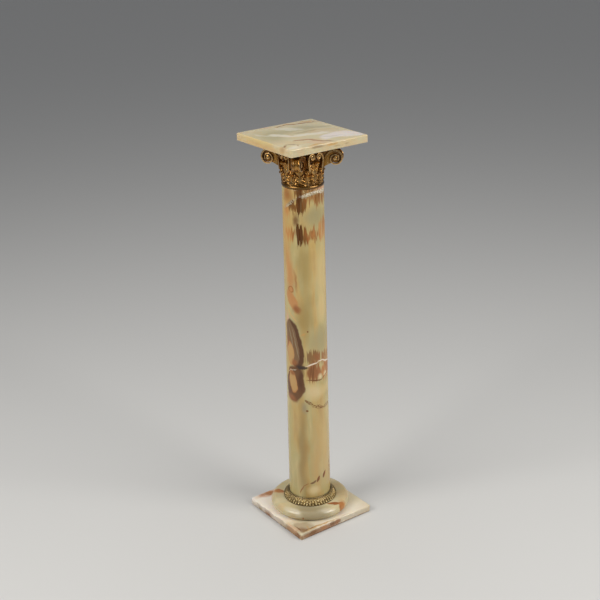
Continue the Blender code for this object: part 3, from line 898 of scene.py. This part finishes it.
def rimmed(tone, opacity, rim, rim_opacity):
    """A patch with a rust-brown rim. rim lists how far out the tone ends and where the rim is."""
    return [(0.0, tone, opacity), (rim[0], tone, opacity), (rim[1], RUST, rim_opacity), (1.0, RUST, 0.0)]


def mark(x, y, long, short, zones, tilt=0.0, field="wander", broken=0.0, z=0.0, deep=1.0):
    """A mark from sizes in millimetres: its middle, its two half sizes and its depth."""
    place = (x / 1000, y / 1000, z / 1000)
    return Mark(place, (long / 1000, short / 1000, deep), tilt, field, zones, broken)


def drift(*sizes, **more):
    """A broad cloud, bent gently."""
    return mark(*sizes, field="drift", **more)


def fringe(*sizes, **more):
    """A mark frayed into upright strokes above and below."""
    return mark(*sizes, field="fringe", **more)


def crackle(*sizes, **more):
    """A mark with a jagged edge."""
    return mark(*sizes, field="crackle", **more)


def vein(start, end, half_width, zones, **more):
    """A mark as long as the way from one point to another, in millimetres."""
    (x0, y0), (x1, y1) = start, end
    long = math.hypot(x1 - x0, y1 - y0) / 2
    tilt = math.degrees(math.atan2(y1 - y0, x1 - x0))
    return mark((x0 + x1) / 2, (y0 + y1) / 2, long, half_width, zones, tilt=tilt, **more)


# Marks on the shaft: x goes round it to the right from its front, and y is the height above the
# floor.
SHAFT_MARKS = [
    # Broad shades.
    drift(-56, 770, 26, 110, soft(OCHRE, 0.75)),
    drift(26, 806, 50, 40, soft(MOSS, 0.95)),
    drift(-4, 690, 24, 90, soft(OLIVE, 0.75)),
    drift(50, 660, 34, 110, soft(STRAW, 0.80)),
    drift(-2, 560, 24, 80, soft(OLIVE, 0.85)),
    drift(45, 575, 26, 46, soft(STRAW, 0.95)),
    drift(38, 500, 44, 40, soft(MOSS, 0.80)),
    drift(22, 362, 40, 32, soft(CREAM, 0.70)),
    drift(60, 366, 30, 26, soft(STRAW, 0.90)),
    drift(-60, 200, 22, 170, soft(srgb(188, 172, 112), 0.80)),
    drift(-15, 190, 16, 210, soft(srgb(152, 120, 68), 0.70)),
    drift(50, 210, 34, 150, soft(srgb(206, 178, 124), 0.80)),
    drift(18, 180, 18, 120, soft(srgb(200, 166, 110), 0.75)),
    # Under the capital.
    mark(-46, 864, 22, 26, soft(RUST, 0.85)),
    fringe(-48, 826, 15, 24, soft(ORANGE, 0.85)),
    mark(60, 878, 36, 14, soft(PINK, 0.95)),
    fringe(-14, 874, 14, 14, firm(UMBER, 0.80)),
    fringe(-9, 866, 9, 22, firm(DARK, 0.75)),
    fringe(12, 880, 22, 12, firm(UMBER, 0.80)),
    fringe(-13, 840, 5, 24, crisp(DARK, 0.95)),
    fringe(-6, 844, 5, 26, crisp(DARK, 0.85)),
    fringe(2, 848, 7, 24, firm(UMBER, 0.9)),
    fringe(-28, 838, 16, 12, firm(UMBER, 0.9)),
    fringe(44, 858, 50, 20, firm(RUST, 0.75), broken=0.10),
    fringe(36, 862, 44, 18, soft(UMBER, 0.75), broken=0.45),
    fringe(90, 846, 24, 20, soft(RUST, 0.8), broken=0.4),
    crackle(-36, 845, 29, 6.0, soft(INK, 0.55), tilt=35),
    crackle(-36, 846, 29, 4.2, firm(CHALK, 0.90), tilt=35, broken=0.55),
    crackle(14, 867, 26, 6.0, firm(SMOKE, 0.80), tilt=12, broken=0.20),
    crackle(14, 868, 26, 4.4, firm(PEARL, 0.95), tilt=12, broken=0.50),
    crackle(54, 869, 32, 6.0, firm(SMOKE, 0.70), tilt=-4, broken=0.20),
    crackle(54, 870, 32, 5.0, firm(PEARL, 1.0), tilt=-4, broken=0.45),
    crackle(92, 856, 26, 4.6, firm(CHALK, 0.9), tilt=-18, broken=0.45),
    # The second row of fringes.
    mark(-21, 806, 12, 20, soft(HORN, 1.0)),
    fringe(-15, 772, 6, 28, crisp(DARK, 0.95)),
    fringe(-8, 772, 6, 28, crisp(DARK, 0.95)),
    fringe(-29, 768, 11, 16, soft(RUST, 1.0)),
    fringe(4, 766, 8, 20, firm(UMBER, 0.9)),
    fringe(24, 768, 26, 17, firm(RUST, 0.85), broken=0.12),
    fringe(34, 768, 26, 15, soft(ORANGE, 0.8), broken=0.5),
    fringe(60, 780, 24, 28, firm(ORANGE, 0.8), broken=0.15),
    fringe(62, 790, 16, 24, soft(RUST, 1.0), broken=0.40),
    fringe(-44, 765, 18, 15, soft(ORANGE, 1.0)),
    # The ochre streak with its eye and the blotch under it.
    mark(-44, 672, 18, 82, soft(ORANGE, 0.85), tilt=4),
    mark(-26, 652, 5, 34, soft(RUST, 0.65), tilt=10),
    mark(-39.5, 629, 9.5, 10, rimmed(ORANGE, 0.8, (0.5, 0.78), 0.95)),
    mark(-38, 602, 32, 16, firm(ORANGE, 0.85), tilt=-55),
    mark(-24, 582, 16, 15, soft(RUST, 1.0)),
    mark(-20, 580, 14, 14, soft(RUST, 0.9)),
    mark(-56, 548, 8, 30, soft(PINK, 0.95)),
    mark(-40, 566, 26, 2.2, firm(AMBER, 0.95), tilt=-48),
    mark(4, 526, 2.8, 2.8, firm(UMBER, 0.95)),
    mark(-8, 517, 10, 4, soft(OCHRE, 0.9), tilt=25),
    # The big almond: its dark rim, its striped horn-grey inside and its amber kernel.
    mark(-34, 488, 25, 68, crisp(DARK, 0.97), tilt=11),
    mark(-41, 491, 20, 60, crisp(HORN, 0.95), tilt=11),
    mark(-30, 490, 1.6, 46, firm(SMOKE, 0.6), tilt=14),
    mark(-37, 498, 1.6, 42, firm(UMBER, 0.5), tilt=13),
    mark(-45, 505, 1.6, 36, firm(SMOKE, 0.6), tilt=12),
    mark(-56, 478, 9, 36, soft(RUST, 1.0), tilt=4),
    mark(-46, 460, 13, 32, kernel(), tilt=7),
    # The lobe under it, with a second kernel.
    mark(-36, 380, 31, 53, crisp(srgb(102, 60, 22), 0.95), tilt=-5),
    mark(-16, 396, 11, 44, soft(DARK, 1.0), tilt=-6),
    mark(-46, 340, 24, 14, soft(RUST, 1.0), tilt=-16),
    mark(-41, 386, 14.5, 33, kernel(), tilt=10),
    mark(-34, 438, 12, 11, soft(RUST, 1.0)),
    mark(-42, 409, 13, 8, soft(RUST, 1.0)),
    crackle(-20, 428, 13, 9, soft(INK, 1.0)),
    crackle(-10, 427, 15, 5, firm(INK, 0.9)),
    mark(-44, 416, 17, 1.5, firm(CHALK, 0.9), tilt=21, broken=0.35),
    # The thin white vein with brown above and below it.
    fringe(16, 452, 24, 20, firm(UMBER, 0.80), broken=0.15),
    fringe(50, 450, 42, 14, firm(RUST, 0.80), broken=0.25),
    fringe(20, 413, 25, 27, firm(RUST, 0.95)),
    fringe(14, 414, 16, 25, soft(UMBER, 0.95), broken=0.15),
    fringe(58, 414, 24, 25, firm(ORANGE, 0.95), broken=0.05),
    fringe(62, 420, 24, 20, soft(RUST, 1.0), broken=0.40),
    mark(34, 401, 9, 11, soft(CREAM, 1.0), tilt=-15),
    mark(54, 402, 8, 11, soft(CREAM, 1.0), tilt=15),
    mark(22, 391.5, 25, 2.4, firm(UMBER, 1.0), tilt=-2, broken=0.2),
    mark(56, 398, 22, 2.0, firm(UMBER, 0.9), tilt=26, broken=0.35),
    mark(12, 436.0, 23, 2.5, firm(PINK, 1.0), tilt=17),
    mark(13, 436.5, 22, 1.5, firm(PEARL, 1.0), tilt=17),
    mark(54, 437.0, 28, 2.8, firm(PINK, 1.0), tilt=-12),
    mark(54, 437.5, 28, 1.6, firm(PEARL, 1.0), tilt=-12),
    # The dotted curve and the spot under it.
    mark(3, 333, 15, 5.0, firm(UMBER, 1.0), tilt=-48, broken=0.40),
    mark(26, 318, 20, 5.6, firm(UMBER, 1.0), tilt=-12, broken=0.46),
    mark(58, 315, 24, 5.6, firm(UMBER, 1.0), tilt=6, broken=0.50),
    mark(-8, 318, 12, 20, soft(SMOKE, 0.8)),
    mark(-1, 311, 4.2, 3.4, firm(UMBER, 0.95)),
    # The slashes near the foot.
    mark(67, 132, 28, 2.0, firm(UMBER, 0.95), tilt=86, broken=0.3),
    mark(41, 122, 13, 3.6, firm(CHESTNUT, 1.0), tilt=66),
    mark(22, 114, 12, 3.6, firm(CHESTNUT, 1.0), tilt=62),
    mark(8, 107, 11, 3.6, firm(HORN, 1.0), tilt=32),
    mark(-9, 97, 10, 1.6, soft(RUST, 0.9), tilt=34),
    mark(-19, 84, 14, 2.0, firm(RUST, 0.8), tilt=66),
    mark(10, 82, 20, 16, soft(CREAM, 0.8)),
    # The back of the shaft.
    drift(135, 700, 40, 90, soft(OLIVE, 0.7)),
    drift(-120, 560, 40, 90, soft(STRAW, 0.7)),
    drift(130, 330, 44, 90, soft(MOSS, 0.7)),
    drift(-110, 250, 44, 120, soft(OCHRE, 0.6)),
    fringe(140, 842, 34, 18, soft(RUST, 0.9), broken=0.35),
    fringe(-120, 826, 30, 22, soft(ORANGE, 0.9), broken=0.35),
    crackle(-140, 838, 34, 4.4, firm(CHALK, 0.9), tilt=18, broken=0.45),
    mark(132, 640, 17, 60, rimmed(OCHRE, 0.6, (0.75, 0.90), 0.7), tilt=8),
    mark(-118, 420, 40, 2.2, firm(PEARL, 0.9), tilt=12),
    fringe(-124, 402, 34, 20, soft(RUST, 0.9), broken=0.3),
    fringe(120, 404, 40, 22, soft(ORANGE, 0.9), broken=0.3),
    mark(128, 220, 34, 2.0, firm(UMBER, 0.8), tilt=24, broken=0.4),
]

# Marks in the slabs and the disc: x, y and z as in the frame, and deep is half the mark's height.
FROM_TOP = {"z": 1000, "deep": 0.05}
SKIN_DEEP = {"z": 1000, "deep": 0.01}
PLINTH_TOP = {"z": 18, "deep": 0.02}
SLAB_MARKS = [
    # Green-grey and pale layers.
    drift(-60, 30, 90, 60, soft(SAGE, 0.9), tilt=40, **FROM_TOP),
    drift(20, 40, 90, 26, soft(SAGE, 0.9), tilt=-15, **FROM_TOP),
    vein((-66, 44), (-30, -12), 13, firm(PEARL, 0.75), **FROM_TOP),
    vein((-44, -2), (70, -30), 12, firm(PEARL, 0.75), **FROM_TOP),
    vein((-30, 92), (30, 26), 15, firm(PEARL, 0.55), **FROM_TOP),
    vein((-92, 66), (-62, 14), 6, firm(PEARL, 0.40), **FROM_TOP),
    vein((-20, 8), (60, 12), 7, firm(SAGE, 0.70), **FROM_TOP),
    vein((10, 14), (96, -6), 6, firm(OCHRE, 0.30), **FROM_TOP),
    vein((36, 36), (108, 18), 6, firm(MOSS, 0.45), **FROM_TOP),
    vein((0, -66), (108, -52), 26, firm(LILAC, 0.85), field="drift", **FROM_TOP),
    vein((40, -46), (114, -100), 24, firm(LILAC, 0.85), field="drift", **FROM_TOP),
    vein((8, -50), (70, -70), 3.0, soft(SMOKE, 0.7), **FROM_TOP),
    # Tan lines along the back, a pink streak at the back left.
    vein((-20, 96), (110, 77), 5.0, firm(OCHRE, 0.90), **FROM_TOP),
    vein((-16, 94), (112, 77), 3.0, firm(UMBER, 0.90), **FROM_TOP),
    vein((50, 100), (112, 84), 6, soft(OCHRE, 0.90), **FROM_TOP),
    vein((-70, 112), (-6, 100), 6.0, soft(PINK, 1.0), **FROM_TOP),
    vein((-60, 111), (-26, 104), 2.6, soft(RUST, 0.9), **FROM_TOP),
    # The streak and the swirl near the front corner.
    vein((-50, -58), (10, -110), 15, soft(PINK, 0.55), **SKIN_DEEP),
    vein((-58, -44), (-12, -56), 5.5, firm(RUST, 0.70), **SKIN_DEEP),
    vein((-26, -46), (2, -94), 6.5, firm(RUST, 0.65), **SKIN_DEEP),
    vein((-10, -76), (16, -112), 6.5, soft(UMBER, 0.7), **SKIN_DEEP),
    vein((-114, -94), (-60, -92), 15, soft(PEARL, 0.85), **SKIN_DEEP),
    vein((-110, -80), (-86, -60), 3.6, soft(UMBER, 0.9), **SKIN_DEEP),
    vein((-90, -60), (-64, -80), 3.2, soft(HORN, 0.95), **SKIN_DEEP),
    vein((-66, -76), (-70, -98), 3.0, soft(RUST, 0.6), **SKIN_DEEP),
    vein((-66, -105), (-6, -100), 6, soft(OCHRE, 0.8), **SKIN_DEEP),
    # Along the faces.
    mark(-110, -74, 8, 14, soft(RUST, 0.50), z=998, deep=0.016),
    mark(-36, -109, 28, 5, soft(UMBER, 0.60), z=996, deep=0.005),
    mark(4, -109, 30, 3, soft(OCHRE, 0.85), z=996, deep=0.004),
    mark(30, -109, 30, 3, soft(HORN, 0.55), z=990, deep=0.003),
    mark(-110, 10, 7, 130, soft(AMBER, 0.8), z=988, deep=0.014),
    mark(-110, 20, 7, 110, soft(STRAW, 0.9), z=998, deep=0.008),
]
DISC_MARKS = [
    drift(-50, -70, 70, 46, soft(SMOKE, 1.0), tilt=-45, z=36, deep=0.05),
    drift(60, -20, 50, 60, soft(OLIVE, 0.45), z=36, deep=0.04),
    mark(-57, 57, 18, 9, firm(RUST, 0.95), tilt=-58, z=46, deep=0.02),
    mark(-63, 62, 26, 13, soft(ORANGE, 0.9), tilt=-58, z=42, deep=0.03),
    mark(19, -79, 19, 7.0, firm(RUST, 1.0), tilt=-30, z=46, deep=0.02),
    mark(30, -96, 17, 7.5, firm(RUST, 0.95), tilt=78, z=42, deep=0.03),
    mark(34, -94, 22, 13, soft(ORANGE, 0.9), tilt=78, z=40, deep=0.03),
    # Two pale clouds on the shoulder, right and left of the front: painted highlights.
    mark(-14, -92, 30, 10, soft(PEARL, 0.4), tilt=-30, z=42, deep=0.02),
    mark(-84, -40, 10, 34, soft(PEARL, 0.5), tilt=20, z=42, deep=0.02),
    mark(-74, -66, 3, 3, firm(RUST, 0.9), z=28, deep=0.004),
]
PLINTH_MARKS = [
    drift(-90, 60, 110, 110, firm(MILK, 0.85), z=18, deep=0.05),
    drift(30, -90, 110, 50, soft(MILK, 0.60), z=18, deep=0.05),
    mark(-56, 100, 40, 17, soft(ORANGE, 1.0), tilt=-8, **PLINTH_TOP),
    mark(-84, 100, 22, 14, soft(PINK, 1.0), tilt=-8, **PLINTH_TOP),
    mark(-60, 98, 28, 6, firm(RUST, 0.60), tilt=-8, broken=0.25, **PLINTH_TOP),
    mark(-84, -88, 34, 24, firm(HORN, 0.45), tilt=-45, **PLINTH_TOP),
    mark(-98, -98, 22, 16, soft(UMBER, 0.75), tilt=-45, **PLINTH_TOP),
    vein((-101, -66), (-106, -106), 2.6, soft(UMBER, 1.0), **PLINTH_TOP),
    vein((-106, -104), (-36, -108), 2.8, soft(UMBER, 0.9), **PLINTH_TOP),
    vein((-78, -80), (-78, -112), 1.8, soft(OCHRE, 0.95), **PLINTH_TOP),
    vein((-104, -108), (20, -108), 2.4, soft(OCHRE, 0.9), z=18, deep=0.004),
    vein((-108, -110), (-108, -40), 2.4, soft(PINK, 0.9), z=18, deep=0.004),
    crackle(-52, -110, 72, 7, firm(RUST, 0.75), z=7, deep=0.010),
    crackle(-75, -110, 20, 6, soft(UMBER, 1.0), z=8, deep=0.008),
    crackle(-40, -110, 14, 6, soft(ORANGE, 1.0), z=10, deep=0.006),
    crackle(-12, -110, 14, 6, soft(UMBER, 1.0), z=11, deep=0.008),
    crackle(4, -110, 12, 6, firm(RUST, 0.85), z=11, deep=0.007),
    crackle(-110, -78, 7, 38, firm(ORANGE, 0.70), z=8, deep=0.011),
    crackle(-110, -98, 6, 18, soft(UMBER, 1.0), z=8, deep=0.011),
    crackle(-110, 34, 6, 24, soft(RUST, 1.0), z=5, deep=0.012),
    crackle(-110, 70, 6, 12, soft(OLIVE, 0.8), z=4, deep=0.010),
    mark(-111, 0, 5, 150, firm(HORN, 0.40), z=8, deep=0.012),
    mark(0, -111, 150, 5, firm(HORN, 0.25), z=8, deep=0.012),
    # A dark line along the foot of the faces at -X and -Y: brown in the stone and painted contact shadow.
    crackle(-111, 0, 6, 150, firm(UMBER, 0.75), z=0, deep=0.004),
    crackle(0, -111, 150, 6, firm(UMBER, 0.75), z=0, deep=0.004),
]

# The stone's layers: the size of their clouds along, across and up, how they are turned, and how
# far they are paled.
Grain = namedtuple("Grain", "size turn pale")
SHAFT_GRAIN = Grain((0.050, 0.30, 1.0), 0.0, 0.0)
SLAB_GRAIN = Grain((0.16, 0.040, 0.05), math.radians(-36), 0.40)
PLINTH_GRAIN = Grain((0.16, 0.050, 0.05), math.radians(30), 0.60)
DISC_GRAIN = Grain((0.16, 0.06, 0.05), math.radians(-20), 0.30)


def solid_fields(recipe):
    """The coordinates of a block: the place itself, and the same bent by noise."""
    place = recipe.node("TexCoord", {}).outputs["Object"]
    return bent(recipe, place, place, 0.024)


def unrolled_fields(recipe):
    """The coordinates of the shaft's surface laid flat: round to the right, and up."""
    place = recipe.node("TexCoord", {}).outputs["Object"]
    front = bpy.context.scene.pedestal_stone.shaft_front
    ahead = recipe.stretched(place, front, (1.0, 1.0, 1.0))
    parts = recipe.node("SeparateXYZ", {0: ahead}).outputs
    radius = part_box("shaft")[1].x
    around = recipe.math("MULTIPLY", recipe.math("ARCTAN2", parts["Y"], parts["X"]), radius)
    flat = recipe.node("CombineXYZ", {"X": around, "Y": parts["Z"]}).outputs[0]
    return bent(recipe, flat, place, 0.014)


def bent(recipe, flat, place, sway):
    """The fields that marks are laid in, from flat coordinates and a place in space for the noise.

    sway is how far the plainest of them, wander, is bent.
    """

    def shifted(by, amount):
        """The flat coordinates pushed about by a noise.

        A Mapping node adds the push. Every field ends in one, so Cycles has them all ready before
        the first mark. Its stack is too small for fields that come later than others.
        """
        centred = recipe.vector("SUBTRACT", by, (0.5, 0.5, 0.5))
        push = recipe.vector("MULTIPLY", centred, amount)
        return recipe.node("Mapping", {"Vector": flat, "Location": push}).outputs[0]

    broad = recipe.noise(place, 14.0, 1.0, 0.4, "Color")
    slow = recipe.noise(place, 34.0, 2.0, 0.5, "Color")
    quick = recipe.noise(place, 260.0, 2.0, 0.6, "Color")
    streaks = recipe.noise(recipe.stretched(place, 0.0, (1.0, 1.0, 20.0)), 230.0, 3.0, 0.65, "Color")
    return {
        "flat": flat,
        "place": place,
        "strokes": recipe.node("SeparateXYZ", {0: streaks}).outputs["Z"],
        "speckle": recipe.noise(place, 420.0, 3.0, 0.7),
        "drift": shifted(broad, (0.030, 0.060, 0.004)),
        "wander": shifted(slow, (sway, sway, 0.004)),
        "crackle": shifted(quick, (0.012, 0.012, 0.006)),
        "fringe": shifted(streaks, (0.004, 0.075, 0.0)),
    }


MARKS_PER_GROUP = 12
# A broken mark shows where a noise is over its edge, which rises with how broken the mark is.
BROKEN_EDGE, BROKEN_RISE, BROKEN_BLUR = 0.35, 0.30, 0.06


def lay(recipe, given, colour_now, laid):
    """Lays one mark over a colour.

    The mark's own coordinates are the field turned by its tilt and divided by its size. The field
    and the field turned by a quarter make up the turn, because VectorMath nodes alone keep the
    work in order for Cycles's small stack.
    """
    c, s = math.cos(math.radians(laid.tilt)), math.sin(math.radians(laid.tilt))
    (x, y, z), (wide, high, deep) = laid.place, laid.size
    shift = (-(x * c + y * s) / wide, -(y * c - x * s) / high, -z / deep)
    if laid.tilt:
        side = given["side " + laid.field]
        shift = recipe.vector("MULTIPLY_ADD", side, (-s / wide, -s / high, 0.0), shift)
    near = recipe.vector("MULTIPLY_ADD", given[laid.field], (c / wide, c / high, 1 / deep), shift)
    zones = recipe.ramp(recipe.vector("LENGTH", near), laid.zones)
    opacity = zones.outputs["Alpha"]
    if laid.broken:
        grit = given["strokes" if laid.field == "fringe" else "speckle"]
        edge = BROKEN_EDGE + BROKEN_RISE * laid.broken
        kept = recipe.fade(grit, edge - BROKEN_BLUR, edge + BROKEN_BLUR)
        opacity = recipe.math("MULTIPLY", opacity, kept)
    return recipe.mix(opacity, colour_now, zones.outputs["Color"])


def lay_group(recipe, name, fields, colour_now, marks):
    """Lays some marks over a colour in a node group of their own, which keeps each tree small."""
    group = bpy.data.node_groups.new(name, "ShaderNodeTree")
    for field, output in fields.items():
        kind = "NodeSocketFloat" if output.type == "VALUE" else "NodeSocketVector"
        group.interface.new_socket(field, in_out="INPUT", socket_type=kind)
    group.interface.new_socket("below", in_out="INPUT", socket_type="NodeSocketColor")
    group.interface.new_socket("laid", in_out="OUTPUT", socket_type="NodeSocketColor")
    inside = Recipe(group)
    given = dict(inside.node("NodeGroupInput", {}).outputs.items())
    for field in sorted({each.field for each in marks if each.tilt}):
        given["side " + field] = inside.vector("CROSS_PRODUCT", (0.0, 0.0, 1.0), given[field])
    laid = given["below"]
    for each in marks:
        laid = lay(inside, given, laid, each)
    inside.node("NodeGroupOutput", {"laid": laid})
    made = recipe.node("Group", {}, node_tree=group)
    for field, output in {**fields, "below": colour_now}.items():
        recipe.feed(made.inputs[field], output)
    return made.outputs["laid"]


def onyx(name, stone, grain, make_fields, marks):
    """Polished onyx: cloudy layers, with marks laid over them."""
    finish, recipe, shader = new_finish(name)
    fields = make_fields(recipe)
    base = fields["flat"] if grain is SHAFT_GRAIN else fields["place"]
    layers = recipe.stretched(base, grain.turn, grain.size)
    tones = recipe.ramp(
        recipe.noise(layers, 1.6, 3.0, 0.55),
        [
            (0.30, tuple(stone.tan), 1.0),
            (0.42, tuple(stone.honey), 1.0),
            (0.54, tuple(stone.green), 1.0),
            (0.70, tuple(stone.cream), 1.0),
        ],
    ).outputs["Color"]
    pale = recipe.mix(grain.pale, tones, PEARL) if grain.pale else tones
    clouds = recipe.fade(recipe.noise(fields["place"], 22.0, 4.0, 0.55), 0.35, 0.75)
    colour_now = recipe.mix(recipe.math("MULTIPLY", clouds, 0.25), pale, stone.cream)
    wisps = recipe.fade(recipe.noise(fields["wander"], 60.0, 4.0, 0.7), 0.55, 0.80)
    colour_now = recipe.mix(recipe.math("MULTIPLY", wisps, 0.22), colour_now, stone.tan)
    for start in range(0, len(marks), MARKS_PER_GROUP):
        few = marks[start:start + MARKS_PER_GROUP]
        colour_now = lay_group(recipe, name + "_marks", fields, colour_now, few)
    recipe.feed(shader.inputs["Base Color"], colour_now)
    shader.inputs["Roughness"].default_value = stone.roughness
    shader.inputs["Subsurface Weight"].default_value = stone.translucency
    shader.inputs["Subsurface Radius"].default_value = (1.0, 0.75, 0.45)
    shader.inputs["Subsurface Scale"].default_value = stone.depth
    ripple = recipe.noise(fields["place"], 18.0, 2.0, 0.5)
    recipe.feed(shader.inputs["Normal"], recipe.bump(ripple, 0.10, 0.002))
    return finish


# Heights above the capital's foot over which its darker bottom fades out.
FOOT_DARK_TO, FOOT_CLEAR_FROM = 0.004, 0.035


def dimmed(tone, kept):
    """A share of a colour's light."""
    return tuple(c * kept for c in tone)


def cast_brass(name, painted_highlight, gold, shade, roughness, hollow, foot=None):
    """Cast brass: painted highlights on its most open points, patina and painted shade in its hollows.

    hollow is the size of the hollows that count. Above the height foot, where it is given, the
    brass is darker for a few centimetres.
    """
    finish, recipe, shader = new_finish(name)
    place = recipe.node("TexCoord", {}).outputs["Object"]
    # Ambient occlusion flecked by a fine noise: where the painted shade and painted highlights go.
    open_sky = recipe.node("AmbientOcclusion", {"Distance": hollow}, samples=8).outputs["AO"]
    grain = recipe.noise(place, 420.0, 3.0, 0.6)
    cover = recipe.math("ADD", open_sky, recipe.math("MULTIPLY", recipe.math("SUBTRACT", grain, 0.5), 0.6))
    warm = recipe.noise(place, 90.0, 3.0, 0.6)
    tone = recipe.mix(recipe.fade(warm, 0.4, 0.7), gold, dimmed(gold, 0.72))
    # Patina and painted shade in the hollows.
    tone = recipe.mix(recipe.fade(cover, 0.40, 0.85), shade, tone)
    # Painted highlights where the surface is most open to the sky.
    tone = recipe.mix(recipe.fade(cover, 0.90, 1.10, 0.0, 0.7), tone, painted_highlight)
    if foot is not None:
        # Darker towards the bottom of the casting, over a few centimetres.
        height = recipe.node("SeparateXYZ", {0: place}).outputs["Z"]
        darker_at_foot = recipe.fade(height, foot + FOOT_DARK_TO, foot + FOOT_CLEAR_FROM, 0.9, 0.0)
        tone = recipe.mix(darker_at_foot, tone, dimmed(gold, 0.3))
    recipe.feed(shader.inputs["Base Color"], tone)
    # Less metallic in the hollows, under the patina and painted shade.
    recipe.feed(shader.inputs["Metallic"], recipe.fade(cover, 0.20, 0.80, 0.10, 1.0))
    shader.inputs["Coat Weight"].default_value = 0.35
    shader.inputs["Coat Roughness"].default_value = 0.14
    worn = recipe.fade(recipe.noise(place, 300.0, 3.0, 0.6), 0.3, 0.7, roughness - 0.06, roughness + 0.10)
    recipe.feed(shader.inputs["Roughness"], worn)
    pitted = recipe.noise(place, 700.0, 4.0, 0.6)
    recipe.feed(shader.inputs["Normal"], recipe.bump(pitted, 0.20, 0.0004))
    return finish


# Stage


def camera_place(stage):
    """Where the camera stands."""
    level = spoke(stage.camera_turn - QUARTER) * stage.camera_distance
    return Vector((level[0], level[1], stage.camera_height))


def area_light(name, place, aim, side, power, tone):
    """A square soft light that points at a place."""
    data = bpy.data.lights.new(name, "AREA")
    data.size = side
    data.energy = power
    data.color = tone
    lamp = bpy.data.objects.new(name, data)
    lamp.location = place
    lamp.rotation_mode = "QUATERNION"
    lamp.rotation_quaternion = (Vector(aim) - Vector(place)).to_track_quat("-Z", "Y")
    bpy.context.scene.collection.objects.link(lamp)


class PEDESTAL_OT_stage(bpy.types.Operator):
    """Makes the floor, the lights and the camera"""

    bl_idname = "pedestal.stage"
    bl_label = "Stage"

    def execute(self, context):
        stage = context.scene.pedestal_stage
        half = stage.floor_side / 2
        mesh = bpy.data.meshes.new("floor")
        corners = [(-half, -half, 0), (half, -half, 0), (half, half, 0), (-half, half, 0)]
        mesh.from_pydata(corners, [], [(0, 1, 2, 3)])
        finish, _, shader = new_finish("floor_finish")
        shader.inputs["Base Color"].default_value = (*stage.floor, 1.0)
        shader.inputs["Roughness"].default_value = 0.6
        mesh.materials.append(finish)
        floor = bpy.data.objects.new("floor", mesh)
        context.scene.collection.objects.link(floor)
        world = bpy.data.worlds.new("studio")
        world.use_nodes = True
        background = world.node_tree.nodes["Background"]
        background.inputs["Color"].default_value = (*stage.sky, 1.0)
        background.inputs["Strength"].default_value = stage.sky_strength
        context.scene.world = world
        context.scene.view_settings.view_transform = "Standard"
        middle = (0.0, 0.0, 0.6)
        place = camera_place(stage)
        ahead = Vector((place.x, place.y, 0.0)).normalized()
        right = Vector((-ahead.y, ahead.x, 0.0))
        left_light = ahead * 1.3 - right * 2.0 + Vector((0.0, 0.0, 2.2))
        right_light = ahead * 1.2 + right * 2.2 + Vector((0.0, 0.0, 2.0))
        area_light("left_light", left_light, middle, 1.6, stage.side_power, (1.0, 0.98, 0.95))
        area_light("right_light", right_light, middle, 1.6, stage.side_power, (1.0, 0.98, 0.95))
        area_light("top_light", (0.3, 0.4, 3.2), middle, 2.0, stage.top_power, (1.0, 1.0, 1.0))
        data = bpy.data.cameras.new("camera")
        data.lens = stage.lens
        camera = bpy.data.objects.new("camera", data)
        yaw = Matrix.Rotation(stage.camera_turn + stage.camera_yaw, 4, "Z")
        tilt = Euler((QUARTER - stage.camera_pitch, 0.0, 0.0)).to_matrix().to_4x4()
        roll = Matrix.Rotation(stage.camera_roll, 4, "Z")
        camera.matrix_world = Matrix.Translation(place) @ yaw @ tilt @ roll
        context.scene.collection.objects.link(camera)
        context.scene.camera = camera
        return {"FINISHED"}


class PEDESTAL_PT_panel(bpy.types.Panel):
    """Lists the pedestal's operators"""

    bl_idname = "PEDESTAL_PT_panel"
    bl_label = "Onyx Pedestal"
    bl_space_type = "VIEW_3D"
    bl_region_type = "UI"
    bl_category = "Pedestal"

    def draw(self, context):
        for operator in OPERATORS:
            self.layout.operator(operator.bl_idname)


OPERATORS = (PEDESTAL_OT_stage, PEDESTAL_OT_stone, PEDESTAL_OT_wreath, PEDESTAL_OT_capital)
SETTINGS = {
    "pedestal_stone": StoneSettings,
    "pedestal_brass": BrassSettings,
    "pedestal_capital": CapitalSettings,
    "pedestal_wreath": WreathSettings,
    "pedestal_stage": StageSettings,
}


def register():
    for group in SETTINGS.values():
        bpy.utils.register_class(group)
    for name, group in SETTINGS.items():
        setattr(bpy.types.Scene, name, PointerProperty(type=group))
    for operator in OPERATORS:
        bpy.utils.register_class(operator)
    bpy.utils.register_class(PEDESTAL_PT_panel)


def unregister():
    bpy.utils.unregister_class(PEDESTAL_PT_panel)
    for operator in OPERATORS:
        bpy.utils.unregister_class(operator)
    for name, group in SETTINGS.items():
        delattr(bpy.types.Scene, name)
        bpy.utils.unregister_class(group)


def main():
    register()
    bpy.ops.pedestal.stage()
    bpy.ops.pedestal.stone()
    bpy.ops.pedestal.wreath()
    bpy.ops.pedestal.capital()


if __name__ == "__main__":
    main()
